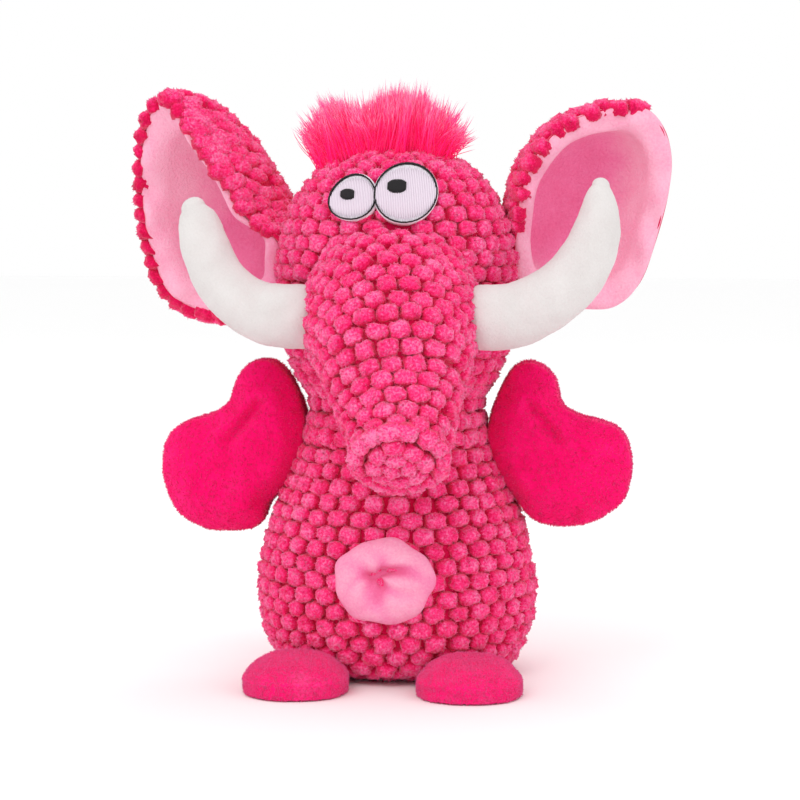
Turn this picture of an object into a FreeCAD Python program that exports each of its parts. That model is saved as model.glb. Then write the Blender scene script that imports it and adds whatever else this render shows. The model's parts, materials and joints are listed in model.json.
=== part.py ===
import FreeCAD, Part
import math
import os

# A plush elephant, about 192 mm tall, that stands on its round body and two flat feet.
# It faces -Y, +Z is up, and the floor is z = 0. Its own left side is +X.
# Body, head, trunk and ear backs are bubble fabric; arms, feet, ear linings, belly patch and
# tusks are smooth short pile. Every skin is a closed shell around its own stuffing.
# All lengths are millimetres.

os.makedirs("parts", exist_ok=True)
Vector = FreeCAD.Vector

# ---- driving dimensions ----
SEAM_GAP = 0.6              # clear space between pieces on different bodies
BUBBLE_WALL = 3.0           # bubble fabric, from its backing to the tops of the bubbles
PILE_WALL = 1.6             # short pile fabric
FAR = 400.0                 # longer than anything in the toy

BODY_HEIGHT = 84.3
BODY_DEPTH_RATIO = 0.88     # depth of the pear over its width
BASE_PANEL_HEIGHT = 3.6
BODY_OUTLINE = [            # (radius, height) from the flat disc up to the neck
    (26.0, 0.0), (34.0, 2.4), (41.0, 9.0), (45.0, 21.0), (45.0, 32.0), (42.8, 44.5),
    (38.8, 56.5), (33.8, 67.5), (26.5, 77.0), (15.0, 82.5), (2.0, 84.3),
]

HEAD_CENTRE = (0.0, 0.0, 128.7)
HEAD_RADII = (39.5, 37.0, 43.2)

TRUNK_SPINE = [             # (x, y, z, radius) from inside the head to the round end
    (1.0, -14.0, 121.3, 30.0), (1.7, -31.0, 117.8, 28.4), (3.4, -43.0, 109.1, 25.6),
    (5.2, -51.0, 97.4, 21.4), (6.8, -58.0, 87.2, 18.2), (7.8, -65.0, 80.4, 16.4),
    (8.3, -71.0, 77.8, 15.2),
]
TRUNK_BEND_STATION = 2      # the first bend is at this point of the spine
TRUNK_CURL_STATION = 4      # the second bend is at this one
TRUNK_END_THICKNESS = 3.0
BALL_SEAT_RATIO = 0.38      # how far a bend's centre is ahead of its seam, over the tube's radius

TUSK_SPINES = {             # (x, y, z, radius) from the rounded root to the tip
    "right": [
        (-30.6, -32.5, 118.6, 3.0), (-32.2, -32.4, 118.6, 6.6), (-35.5, -32.0, 118.8, 9.4),
        (-40.5, -31.0, 119.9, 9.8), (-47.1, -30.0, 123.2, 9.2), (-54.3, -28.0, 130.4, 8.6),
        (-58.7, -26.0, 139.5, 8.0), (-61.2, -24.5, 146.5, 6.9), (-62.3, -23.7, 150.6, 4.8),
        (-63.0, -23.2, 153.0, 1.6),
    ],
    "left": [
        (33.6, -32.5, 118.6, 3.0), (35.2, -32.4, 118.4, 6.6), (38.5, -32.0, 118.6, 9.4),
        (43.5, -31.0, 120.4, 10.2), (51.6, -29.8, 124.5, 9.8), (60.4, -28.0, 132.6, 9.2),
        (65.3, -26.0, 142.7, 8.2), (66.9, -24.4, 151.0, 6.4), (67.3, -23.6, 156.6, 4.2),
        (67.4, -23.2, 160.2, 1.4),
    ],
}

EARS = {                    # a hollow egg with a slice off its outer front, as seen at -X
    "right": {"centre": (-61.0, 8.0, 150.5), "radii": (28.0, 17.5, 39.8), "lean": -12.0,
              "mouth_normal": (-0.40, -0.86, -0.30), "mouth_offset": 3.0},
    "left": {"centre": (-62.0, 8.0, 153.3), "radii": (28.0, 17.5, 36.0), "lean": -6.0,
             "mouth_normal": (-0.28, -0.94, -0.16), "mouth_offset": 1.0},
}
EAR_BACK_WALL = 3.0
EAR_LINING_WALL = 1.2
EAR_SEAM_POINT = (-42.4, 0.0, 128.7)
EAR_SEAM_NORMAL = (0.965, 0.0, -0.262)

ARM_OUTLINE = [             # (outwards from the middle, height): mitten with a thumb on top
    (32.0, 86.7), (35.0, 96.2), (41.5, 102.2), (48.0, 100.8), (51.8, 96.0), (54.2, 90.2),
    (61.5, 85.6), (71.0, 81.2), (76.6, 72.0), (76.8, 62.0), (71.0, 51.8), (58.0, 47.0),
    (47.6, 48.4), (43.2, 54.5), (40.3, 63.2), (36.6, 75.0),
]
ARM_HALF_THICKNESS = 5.6

FOOT_CENTRE = (27.6, -42.6)
FOOT_RADII = (16.4, 18.6)
FOOT_THICKNESS = 12.4
FOOT_HEEL_RADIUS = 42.9     # the heel follows this circle round the body

BELLY_PATCH_CENTRE = (0.0, 34.9)
BELLY_PATCH_RADII = (16.2, 13.8)
BELLY_PATCH_HEIGHT = 4.0

EYES = {                    # (x, z) centre, half width, half height, pupil centre and half size
    "right": {"centre": (-12.2, 156.2), "radii": (7.9, 7.2), "lean": -20.0,
              "pupil": (-13.2, 157.8), "pupil_half": (2.5, 2.1)},
    "left": {"centre": (6.4, 157.0), "radii": (10.2, 9.3), "lean": 0.0,
             "pupil": (4.2, 160.4), "pupil_half": (3.2, 2.6)},
}
EYE_BORDER = 1.3            # felt that shows around the stitched outline
EYE_OUTLINE = 0.8
EYE_ROOM = 0.4              # clear space round the felt, where the trunk comes close to it
EYE_FELT = 1.0
EYE_STITCH = 0.5

HAIR_CENTRE = (-5.4, 2.0, 170.9)
HAIR_RADII = (27.0, 12.5, 20.4)
HAIR_STRIP_HALF_LENGTH = 20.0
HAIR_STRIP_HALF_WIDTH = 3.0
HAIR_STRIP_HEIGHT = 1.2

SQUEAKER_RADIUS = 17.0
SQUEAKER_HALF_HEIGHT = 12.0
SQUEAKER_WALL = 1.4
SQUEAKER_CENTRE = (0.0, 0.0, 34.0)
REED_RADIUS = 4.5
REED_LENGTH = 7.0


# ---- shared shapes ----
def block(low, high):
    """A box between two corners."""
    size = Vector(*high) - Vector(*low)
    return Part.makeBox(size.x, size.y, size.z, Vector(*low))


def half_space(point, normal):
    """A very large box on the side of a plane that its normal points to."""
    slab = Part.makeBox(FAR, FAR, FAR, Vector(-FAR / 2, -FAR / 2, 0))
    turn = FreeCAD.Rotation(Vector(0, 0, 1), Vector(*normal))
    slab.Placement = FreeCAD.Placement(Vector(*point), turn)
    return slab


def ellipsoid(centre, radii):
    """A closed ellipsoid with its radii along X, Y and Z."""
    matrix = FreeCAD.Matrix()
    matrix.scale(*radii)
    shape = Part.makeSphere(1.0).transformGeometry(matrix)
    shape.translate(Vector(*centre))
    return shape


def less(radii, wall):
    """The radii of the same ellipsoid, one wall further in."""
    return tuple(r - wall for r in radii)


def ring(centre, radius, direction, steady):
    """A circle that faces along direction and starts on the steady axis."""
    turn = FreeCAD.Rotation(steady, Vector(), direction, "ZXY")
    circle = Part.Wire(Part.makeCircle(radius))
    circle.Placement = FreeCAD.Placement(centre, turn)
    return circle


def tube(spine, steady, wall=0.0):
    """A smooth closed solid through the circles of a spine, one wall further in."""
    places = [Vector(x, y, z) for x, y, z, _ in spine]
    rings = []
    for i, (_, _, _, radius) in enumerate(spine):
        direction = places[min(i + 1, len(spine) - 1)] - places[max(i - 1, 0)]
        rings.append(ring(places[i], radius - wall, direction.normalize(), steady))
    return Part.makeLoft(rings, True)


def hollow(outer, inner):
    """A shell: one closed solid with another one's space left empty inside it."""
    return Part.Solid(Part.Compound([outer.Shells[0], inner.Shells[0].reversed()]))


def largest(shape):
    """The biggest solid of a shape, without the slivers that a cut can leave."""
    return max(shape.Solids, key=lambda solid: solid.Volume)


def closed_curve(points):
    """A smooth closed wire through a list of points."""
    curve = Part.BSplineCurve()
    curve.interpolate(Points=points, PeriodicFlag=True)
    return Part.Wire(curve.toShape())


def pillow(outline, lift, half_thickness, wall=0.0):
    """A cushion whose outline shrinks towards its two faces.

    lift turns a point of the outline (u, v) and a height into a place."""
    middle_u = sum(u for u, _ in outline) / len(outline)
    middle_v = sum(v for _, v in outline) / len(outline)
    reach = max(math.hypot(u - middle_u, v - middle_v) for u, v in outline)
    shrink = 1.0 - wall / reach
    layers = []
    for height, size in ((-1.0, 0.80), (-0.72, 0.93), (0.0, 1.0), (0.72, 0.93), (1.0, 0.80)):
        factor = size * shrink
        points = [lift(middle_u + (u - middle_u) * factor, middle_v + (v - middle_v) * factor,
                       height * (half_thickness - wall)) for u, v in outline]
        layers.append(closed_curve(points))
    return Part.makeLoft(layers, True)


def ellipse_points(centre, radii, count=16):
    """Evenly turned points of an ellipse."""
    angles = [2 * math.pi * i / count for i in range(count)]
    return [(centre[0] + radii[0] * math.cos(a), centre[1] + radii[1] * math.sin(a)) for a in angles]


def oval_face(radii):
    """A flat upright oval round the origin, the wider way along X."""
    edge = Part.Ellipse(Vector(radii[0], 0, 0), Vector(0, 0, radii[1]), Vector(0, 0, 0)).toShape()
    return Part.Face(Part.Wire(edge))


def mirror_x(side):
    """-1 for the toy's right side, +1 for its left side."""
    return -1.0 if side == "right" else 1.0


# ---- body ----
def pear(wall=0.0, grow=0.0):
    """The round body, one wall further in, or grown outwards."""
    widest = max(r for r, _ in BODY_OUTLINE)
    middle = BODY_HEIGHT / 2
    wide = 1.0 + (grow - wall) / widest
    tall = 1.0 + (grow - wall) / middle
    rings = []
    for radius, height in BODY_OUTLINE:
        centre = Vector(0, 0, middle + (height - middle) * tall)
        across = Vector(radius * wide, 0, 0)
        deep = Vector(0, radius * wide * BODY_DEPTH_RATIO, 0)
        rings.append(Part.Wire(Part.Ellipse(centre + across, centre + deep, centre).toShape()))
    return Part.makeLoft(rings, True)


def squeaker():
    """A hollow soft bulb and the round reed in its top."""
    radii = (SQUEAKER_RADIUS, SQUEAKER_RADIUS, SQUEAKER_HALF_HEIGHT)
    shell = hollow(ellipsoid(SQUEAKER_CENTRE, radii), ellipsoid(SQUEAKER_CENTRE, less(radii, SQUEAKER_WALL)))
    top = SQUEAKER_CENTRE[2] + SQUEAKER_HALF_HEIGHT
    seat = Vector(SQUEAKER_CENTRE[0], SQUEAKER_CENTRE[1], top - REED_LENGTH + 1.0)
    reed = Part.makeCylinder(REED_RADIUS, REED_LENGTH, seat)
    air_way = Part.makeCylinder(REED_RADIUS / 3, REED_LENGTH, seat)
    return shell.cut(reed), reed.cut(air_way), ellipsoid(SQUEAKER_CENTRE, radii).fuse(reed)


def body_pieces():
    """Front, back and base panels, the filling, the squeaker and the belly patch."""
    outer = pear()
    inner = pear(wall=BUBBLE_WALL)
    skin = hollow(outer, inner)
    base = block((-FAR, -FAR, -1.0), (FAR, FAR, BASE_PANEL_HEIGHT))
    front = block((-FAR, -FAR, BASE_PANEL_HEIGHT), (FAR, 0.0, FAR))
    back = block((-FAR, 0.0, BASE_PANEL_HEIGHT), (FAR, FAR, FAR))
    bulb, reed, squeaker_space = squeaker()
    drum = oval_face(BELLY_PATCH_RADII).extrude(Vector(0, -FAR, 0))
    drum.translate(Vector(BELLY_PATCH_CENTRE[0], 0, BELLY_PATCH_CENTRE[1]))
    patch = pear(grow=BELLY_PATCH_HEIGHT).common(drum).cut(outer)
    return {
        "body_front_panel": skin.common(front),
        "body_back_panel": skin.common(back),
        "body_base_panel": skin.common(base),
        "body_stuffing": inner.cut(squeaker_space),
        "squeaker_bulb": bulb,
        "squeaker_reed": reed,
        "belly_patch": largest(patch),
    }


# ---- head, eyes and hair ----
def head_ball(grow=0.0):
    """The outside of the head, grown outwards."""
    return ellipsoid(HEAD_CENTRE, tuple(r + grow for r in HEAD_RADII))


def head_layer(low, high, prism):
    """The part of a thin layer on the head that lies inside a prism."""
    return largest(head_ball(high).common(prism).cut(head_ball(low)))


def eye_prism(eye, grow):
    """A leaning oval, drawn from the middle of the head out through the face."""
    face = oval_face(tuple(r + grow for r in eye["radii"]))
    prism = face.extrude(Vector(0, -FAR, 0))
    prism.rotate(Vector(0, 0, 0), Vector(0, 1, 0), -eye["lean"])
    prism.translate(Vector(eye["centre"][0], 0, eye["centre"][1]))
    return prism


def pupil_prism(eye):
    """A small block drawn out through the face."""
    x, z = eye["pupil"]
    half_x, half_z = eye["pupil_half"]
    return block((x - half_x, -FAR, z - half_z), (x + half_x, 0.0, z + half_z))


def eyes_prism(grow):
    """The ovals of both eyes, drawn out through the face."""
    return eye_prism(EYES["right"], grow).fuse(eye_prism(EYES["left"], grow))


def eye_pieces():
    """One felt backing for both eyes, and on it the stitched white, outline and pupil of each."""
    stitch_top = EYE_FELT + EYE_STITCH
    pieces = {"eye_backing": head_layer(0.0, EYE_FELT, eyes_prism(EYE_BORDER))}
    for side, eye in EYES.items():
        inside = eye_prism(eye, -EYE_OUTLINE)
        border = eye_prism(eye, 0.0).cut(inside)
        pupil = pupil_prism(eye)
        pieces[side + "_eye_outline"] = head_layer(EYE_FELT, stitch_top, border)
        pieces[side + "_eye_white"] = head_layer(EYE_FELT, stitch_top, inside.cut(pupil))
        pieces[side + "_pupil"] = head_layer(EYE_FELT, stitch_top, inside.common(pupil))
    return pieces


def hair_pieces():
    """The sewn strip on top of the head, and the space of the hair that stands on it."""
    x, y, _ = HAIR_CENTRE
    strip_prism = block((x - HAIR_STRIP_HALF_LENGTH, y - HAIR_STRIP_HALF_WIDTH, HEAD_CENTRE[2]),
                        (x + HAIR_STRIP_HALF_LENGTH, y + HAIR_STRIP_HALF_WIDTH, FAR))
    strip = head_layer(0.0, HAIR_STRIP_HEIGHT, strip_prism)
    tuft = ellipsoid(HAIR_CENTRE, HAIR_RADII).cut(head_ball(HAIR_STRIP_HEIGHT))
    return {"hair_strip": strip, "hair_tuft": largest(tuft)}


def head_pieces():
    """Front and back panels and their filling, open where the trunk turns, with eyes and hair."""
    inner = ellipsoid(HEAD_CENTRE, less(HEAD_RADII, BUBBLE_WALL))
    skin = hollow(head_ball(), inner)
    front = skin.common(block((-FAR, -FAR, 0.0), (FAR, 0.0, FAR)))
    seat = bend_seat(TRUNK_BEND_STATION)
    pieces = {
        "head_front_panel": largest(front.cut(seat)),
        "head_back_panel": skin.common(block((-FAR, 0.0, 0.0), (FAR, FAR, FAR))),
        "head_stuffing": inner.cut(seat),
    }
    pieces.update(eye_pieces())
    pieces.update(hair_pieces())
    return pieces


# ---- trunk ----
def trunk_bend(station):
    """Centre, ball radius and direction of the bend at a station of the spine."""
    x, y, z, radius = TRUNK_SPINE[station]
    behind = Vector(*TRUNK_SPINE[station - 1][:3])
    ahead = Vector(*TRUNK_SPINE[station + 1][:3])
    ball = radius * math.hypot(1.0, BALL_SEAT_RATIO)
    return Vector(x, y, z), ball, (ahead - behind).normalize()


def bend_seat(station):
    """The round space that the part after a bend turns in."""
    centre, ball, _ = trunk_bend(station)
    return Part.makeSphere(ball + SEAM_GAP, centre)


def split_at_bend(shape, station):
    """The part of a shape before a bend, and the part after it, whose end is a ball."""
    centre, ball, direction = trunk_bend(station)
    after = half_space(centre, direction)
    before = half_space(centre, -direction)
    knob = Part.makeSphere(ball, centre)
    root = shape.common(before).cut(bend_seat(station))
    return largest(root), largest(shape.common(after.fuse(knob)))


def trunk_pieces():
    """Skin and filling of the root, middle and tip, and the round end panel."""
    steady = Vector(1, 0, 0)
    outer = tube(TRUNK_SPINE, steady)
    inner = tube(TRUNK_SPINE, steady, BUBBLE_WALL)
    eye_room = head_ball(2 * EYE_FELT).common(eyes_prism(EYE_BORDER + EYE_ROOM))
    head = head_ball().fuse(eye_room)
    x, y, z, _ = TRUNK_SPINE[-1]
    _, _, direction = trunk_bend(len(TRUNK_SPINE) - 2)
    end_seat = Vector(x, y, z) - direction * TRUNK_END_THICKNESS
    end = half_space(end_seat, direction)
    pieces = {"trunk_end_panel": outer.common(end)}
    layers = {"skin": outer.cut(inner), "stuffing": inner}
    for name, layer in layers.items():
        root, rest = split_at_bend(layer.cut(end), TRUNK_BEND_STATION)
        middle, tip = split_at_bend(rest, TRUNK_CURL_STATION)
        pieces["trunk_root_" + name] = largest(root.cut(head))
        pieces["trunk_middle_" + name] = middle
        pieces["trunk_tip_" + name] = tip
    return pieces


# ---- tusks, ears, arms and feet ----
def tusk_pieces(side):
    """The white skin and the filling of one tusk."""
    spine = TUSK_SPINES[side]
    steady = Vector(0, 1, 0)
    outer = tube(spine, steady)
    inner = tube(spine[1:-1], steady, PILE_WALL)
    return {side + "_tusk_skin": hollow(outer, inner), side + "_tusk_stuffing": inner}


def ear_pieces(side):
    """The bubble back and the smooth lining of one ear."""
    ear = EARS[side]
    layers = [ellipsoid((0, 0, 0), less(ear["radii"], wall))
              for wall in (0.0, EAR_BACK_WALL, EAR_BACK_WALL + EAR_LINING_WALL)]
    for layer in layers:
        layer.rotate(Vector(0, 0, 0), Vector(0, 1, 0), ear["lean"])
        layer.translate(Vector(*ear["centre"]))
    outer, middle, inner = layers
    normal = Vector(*ear["mouth_normal"]).normalize()
    mouth = half_space(Vector(*ear["centre"]) + normal * ear["mouth_offset"], normal)
    head_side = half_space(EAR_SEAM_POINT, EAR_SEAM_NORMAL)
    pieces = {}
    for name, shape in (("back", hollow(outer, middle)), ("lining", hollow(middle, inner))):
        shape = largest(shape.cut(mouth).cut(head_side))
        if side == "left":
            shape = shape.mirror(Vector(0, 0, 0), Vector(1, 0, 0))
        pieces[side + "_ear_" + name] = shape
    return pieces


def arm_pieces(side):
    """Front and back panels and the filling of one mitten arm."""
    sign = mirror_x(side)

    def lift(u, v, height):
        return Vector(sign * u, height, v)

    inner = pillow(ARM_OUTLINE, lift, ARM_HALF_THICKNESS, PILE_WALL)
    skin = hollow(pillow(ARM_OUTLINE, lift, ARM_HALF_THICKNESS), inner)
    return {
        side + "_arm_front": skin.common(block((-FAR, -FAR, 0), (FAR, 0, FAR))),
        side + "_arm_back": skin.common(block((-FAR, 0, 0), (FAR, FAR, FAR))),
        side + "_arm_stuffing": inner,
    }


def foot_pieces(side):
    """Top, sole and filling of one flat foot."""
    sign = mirror_x(side)
    outline = ellipse_points(FOOT_CENTRE, FOOT_RADII)
    half = FOOT_THICKNESS / 2

    def lift(u, v, height):
        return Vector(sign * u, v, half + height)

    inner = pillow(outline, lift, half, PILE_WALL)
    skin = hollow(pillow(outline, lift, half), inner)
    heel = Part.makeCylinder(FOOT_HEEL_RADIUS, FAR, Vector(0, 0, -FAR / 2))
    skin_cut = skin.cut(heel)
    upper = block((-FAR, -FAR, half), (FAR, FAR, FAR))
    lower = block((-FAR, -FAR, -1.0), (FAR, FAR, half))
    return {
        side + "_foot_top": skin_cut.common(upper),
        side + "_foot_sole": skin_cut.common(lower),
        side + "_foot_stuffing": inner.cut(heel),
    }


def main():
    """Every piece of the toy, each in its own file."""
    pieces = body_pieces()
    pieces.update(head_pieces())
    pieces.update(trunk_pieces())
    for side in ("left", "right"):
        pieces.update(tusk_pieces(side))
        pieces.update(ear_pieces(side))
        pieces.update(arm_pieces(side))
        pieces.update(foot_pieces(side))
    for node, shape in pieces.items():
        shape.exportStep("parts/" + node + ".step")
        bounds = shape.BoundBox
        print(node, len(shape.Solids), "solid(s)", round(shape.Volume), "mm3", shape.isValid(),
              [round(v, 1) for v in (bounds.XMin, bounds.YMin, bounds.ZMin,
                                     bounds.XMax, bounds.YMax, bounds.ZMax)])


main()
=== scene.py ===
import bpy
import json
import math
import numpy as np
from mathutils import Vector, noise
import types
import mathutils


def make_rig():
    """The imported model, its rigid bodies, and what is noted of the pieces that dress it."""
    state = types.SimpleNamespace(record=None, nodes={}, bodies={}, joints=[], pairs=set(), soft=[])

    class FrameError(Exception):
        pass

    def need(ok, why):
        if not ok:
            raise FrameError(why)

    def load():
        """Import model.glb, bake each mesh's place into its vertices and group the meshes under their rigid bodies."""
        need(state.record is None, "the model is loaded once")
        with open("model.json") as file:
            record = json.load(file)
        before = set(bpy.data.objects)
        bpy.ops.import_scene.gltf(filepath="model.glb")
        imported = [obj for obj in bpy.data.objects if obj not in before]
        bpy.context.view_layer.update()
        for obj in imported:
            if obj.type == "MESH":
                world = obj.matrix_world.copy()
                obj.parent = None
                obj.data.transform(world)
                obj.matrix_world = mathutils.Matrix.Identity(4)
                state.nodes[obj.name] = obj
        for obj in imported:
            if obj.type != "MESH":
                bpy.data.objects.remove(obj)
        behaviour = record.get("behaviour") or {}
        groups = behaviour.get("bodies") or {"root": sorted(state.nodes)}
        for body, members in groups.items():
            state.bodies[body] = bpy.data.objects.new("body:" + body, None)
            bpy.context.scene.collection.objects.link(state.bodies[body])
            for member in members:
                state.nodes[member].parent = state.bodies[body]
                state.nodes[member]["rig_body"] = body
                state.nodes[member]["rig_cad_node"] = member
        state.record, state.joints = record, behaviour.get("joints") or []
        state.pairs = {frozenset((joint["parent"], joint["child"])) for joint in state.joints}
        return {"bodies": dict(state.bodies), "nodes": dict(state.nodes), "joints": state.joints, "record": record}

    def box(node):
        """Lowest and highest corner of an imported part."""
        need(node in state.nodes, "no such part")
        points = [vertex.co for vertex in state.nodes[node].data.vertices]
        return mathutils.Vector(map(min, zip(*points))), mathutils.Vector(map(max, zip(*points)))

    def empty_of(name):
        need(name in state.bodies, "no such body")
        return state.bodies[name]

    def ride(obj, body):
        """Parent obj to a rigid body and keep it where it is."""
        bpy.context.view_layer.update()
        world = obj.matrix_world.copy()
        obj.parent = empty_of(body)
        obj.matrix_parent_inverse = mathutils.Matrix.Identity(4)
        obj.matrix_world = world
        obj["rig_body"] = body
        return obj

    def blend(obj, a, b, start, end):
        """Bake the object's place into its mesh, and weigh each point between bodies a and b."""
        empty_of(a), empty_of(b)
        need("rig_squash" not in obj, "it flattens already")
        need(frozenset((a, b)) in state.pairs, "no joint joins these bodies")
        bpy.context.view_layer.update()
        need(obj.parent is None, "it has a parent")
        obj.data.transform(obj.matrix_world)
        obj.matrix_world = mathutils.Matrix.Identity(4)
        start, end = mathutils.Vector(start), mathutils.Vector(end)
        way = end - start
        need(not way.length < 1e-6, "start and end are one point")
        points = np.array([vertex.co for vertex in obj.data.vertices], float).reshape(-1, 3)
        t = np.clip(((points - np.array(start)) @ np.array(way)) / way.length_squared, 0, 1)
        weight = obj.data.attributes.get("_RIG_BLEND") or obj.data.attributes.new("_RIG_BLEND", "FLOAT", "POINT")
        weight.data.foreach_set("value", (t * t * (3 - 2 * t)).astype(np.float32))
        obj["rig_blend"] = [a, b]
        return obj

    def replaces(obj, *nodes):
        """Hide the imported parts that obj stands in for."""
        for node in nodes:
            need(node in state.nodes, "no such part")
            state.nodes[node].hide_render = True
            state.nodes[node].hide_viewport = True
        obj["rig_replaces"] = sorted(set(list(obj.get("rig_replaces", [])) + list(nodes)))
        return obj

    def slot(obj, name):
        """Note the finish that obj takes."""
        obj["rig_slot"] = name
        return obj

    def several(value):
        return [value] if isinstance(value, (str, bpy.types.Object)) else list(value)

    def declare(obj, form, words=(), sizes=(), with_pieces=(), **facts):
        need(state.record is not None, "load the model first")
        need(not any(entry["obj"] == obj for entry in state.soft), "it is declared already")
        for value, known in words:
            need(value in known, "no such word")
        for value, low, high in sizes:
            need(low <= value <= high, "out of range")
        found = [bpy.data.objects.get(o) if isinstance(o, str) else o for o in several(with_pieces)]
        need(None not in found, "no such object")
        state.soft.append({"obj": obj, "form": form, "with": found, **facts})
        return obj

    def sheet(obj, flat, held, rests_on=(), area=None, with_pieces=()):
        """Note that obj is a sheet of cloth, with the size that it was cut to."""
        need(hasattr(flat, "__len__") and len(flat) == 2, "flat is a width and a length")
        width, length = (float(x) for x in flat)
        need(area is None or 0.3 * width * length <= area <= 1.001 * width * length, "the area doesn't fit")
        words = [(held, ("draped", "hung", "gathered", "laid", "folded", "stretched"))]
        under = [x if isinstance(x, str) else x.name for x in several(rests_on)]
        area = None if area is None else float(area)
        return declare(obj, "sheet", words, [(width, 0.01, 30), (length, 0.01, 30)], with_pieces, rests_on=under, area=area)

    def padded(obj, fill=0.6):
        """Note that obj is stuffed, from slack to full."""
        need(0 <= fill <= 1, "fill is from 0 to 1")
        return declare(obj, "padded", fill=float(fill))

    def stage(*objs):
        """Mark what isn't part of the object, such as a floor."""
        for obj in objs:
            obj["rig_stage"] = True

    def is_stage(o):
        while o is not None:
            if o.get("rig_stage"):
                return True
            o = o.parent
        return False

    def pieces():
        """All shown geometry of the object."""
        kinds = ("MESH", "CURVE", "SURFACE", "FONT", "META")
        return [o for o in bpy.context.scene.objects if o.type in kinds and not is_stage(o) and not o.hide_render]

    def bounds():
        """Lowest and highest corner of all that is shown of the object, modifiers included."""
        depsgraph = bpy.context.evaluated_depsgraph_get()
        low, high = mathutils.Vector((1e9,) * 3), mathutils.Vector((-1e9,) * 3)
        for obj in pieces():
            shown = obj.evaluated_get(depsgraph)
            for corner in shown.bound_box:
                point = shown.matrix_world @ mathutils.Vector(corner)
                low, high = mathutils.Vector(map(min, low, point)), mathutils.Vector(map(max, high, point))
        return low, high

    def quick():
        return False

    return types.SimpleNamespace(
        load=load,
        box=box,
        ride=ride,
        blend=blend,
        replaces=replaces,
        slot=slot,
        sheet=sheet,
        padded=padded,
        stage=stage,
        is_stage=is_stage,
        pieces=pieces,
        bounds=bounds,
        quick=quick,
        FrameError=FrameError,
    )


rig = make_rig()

# A plush elephant in bubble chenille: every visible cloth, thread and strand is its own mesh,
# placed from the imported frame. Lengths are metres; MM turns millimetres into metres.
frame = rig.load()
CAD_LOW, CAD_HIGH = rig.bounds()
MM = 0.001
JOINTS = {joint["name"]: joint for joint in frame["record"]["behaviour"]["joints"]}


# ---------------------------------------------------------------- small helpers
def node_box(*nodes):
    """Lowest and highest corners of several nodes, as arrays."""
    boxes = [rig.box(node) for node in nodes]
    low = np.min([np.array(box[0]) for box in boxes], axis=0)
    high = np.max([np.array(box[1]) for box in boxes], axis=0)
    return low, high


def pivot(joint):
    """The place of a joint."""
    return np.array(JOINTS[joint]["pos_m"])


def smoothstep(low, high, value):
    """0 below low, 1 above high, and a smooth ramp between them."""
    t = np.clip((value - low) / (high - low), 0.0, 1.0)
    return t * t * (3 - 2 * t)


def unit(vectors):
    """Vectors of length 1."""
    return vectors / np.maximum(np.linalg.norm(vectors, axis=-1, keepdims=True), 1e-12)


def smooth_line(points):
    """A dense smooth curve from the second of the points to the last but one."""
    dense = []
    t = np.linspace(0, 1, 40, endpoint=False)[:, None]
    for before, start, end, after in zip(points, points[1:], points[2:], points[3:]):
        dense.append(0.5 * (2 * start + (end - before) * t
                            + (2 * before - 5 * start + 4 * end - after) * t ** 2
                            + (3 * start - before - 3 * end + after) * t ** 3))
    return np.vstack(dense + [points[-2:-1]])


def evenly(dense, count, closed):
    """count places spaced evenly along a dense curve."""
    along = np.concatenate([[0], np.cumsum(np.linalg.norm(np.diff(dense, axis=0), axis=1))])
    wanted = np.linspace(0, along[-1], count, endpoint=not closed)
    return np.stack([np.interp(wanted, along, dense[:, k]) for k in range(dense.shape[1])], axis=1)


def spline(points, count):
    """count places on a smooth curve through the points."""
    points = np.asarray(points, float)
    ends = 2 * points[0] - points[1], 2 * points[-1] - points[-2]
    return evenly(smooth_line(np.vstack([ends[0], points, ends[1]])), count, False)


def closed_outline(points, count):
    """count places on a smooth closed curve through the points."""
    points = np.asarray(points, float)
    return evenly(smooth_line(np.vstack([points[-1:], points, points[:2]])), count, True)


def grain(places, size, seed):
    """Smooth noise from -1 to 1 at each place, with lumps of the given size."""
    shift = Vector((seed * 3.17, seed * 1.31, seed * 7.73))
    return np.array([noise.noise(Vector(p) / size + shift) for p in places.tolist()])


def add_mesh(name, verts, faces, material, tint=None, smooth=True):
    """A mesh object. tint holds (height, shade) for each vertex, which the cloth colours read: on most pieces a low
    height is painted shade and a high one painted highlight, and shade shifts the tone at random.

    What would reach under the floor lies pressed flat on it."""
    verts = np.array(verts)
    verts[:, 2] = np.where(verts[:, 2] < 0, verts[:, 2] * 0.05, verts[:, 2])
    mesh = bpy.data.meshes.new(name)
    mesh.from_pydata(verts.tolist(), [], [list(face) for face in faces])
    mesh.validate()
    if smooth:
        mesh.polygons.foreach_set("use_smooth", [True] * len(mesh.polygons))
    if tint is not None:
        colours = np.ones((len(verts), 4), np.float32)
        colours[:, :tint.shape[1]] = tint
        layer = mesh.color_attributes.new("tint", "FLOAT_COLOR", "POINT")
        layer.data.foreach_set("color", colours.ravel())
    mesh.materials.append(material)
    mesh.update()
    piece = bpy.data.objects.new(name, mesh)
    bpy.context.scene.collection.objects.link(piece)
    return piece


def grid_faces(rows, columns, wrap, offset=0, flip=False):
    """Quads of a grid of rows by columns, closed round its columns if wrap is true."""
    faces = []
    for i in range(rows - 1):
        for j in range(columns if wrap else columns - 1):
            k = (j + 1) % columns
            quad = [offset + i * columns + j, offset + i * columns + k,
                    offset + (i + 1) * columns + k, offset + (i + 1) * columns + j]
            faces.append(quad[::-1] if flip else quad)
    return faces


# ---------------------------------------------------------------- materials
def even_tint(count, height):
    """The same cloth colour for every one of count vertices."""
    return np.column_stack([np.full(count, height), np.full(count, 0.5)])


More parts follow.
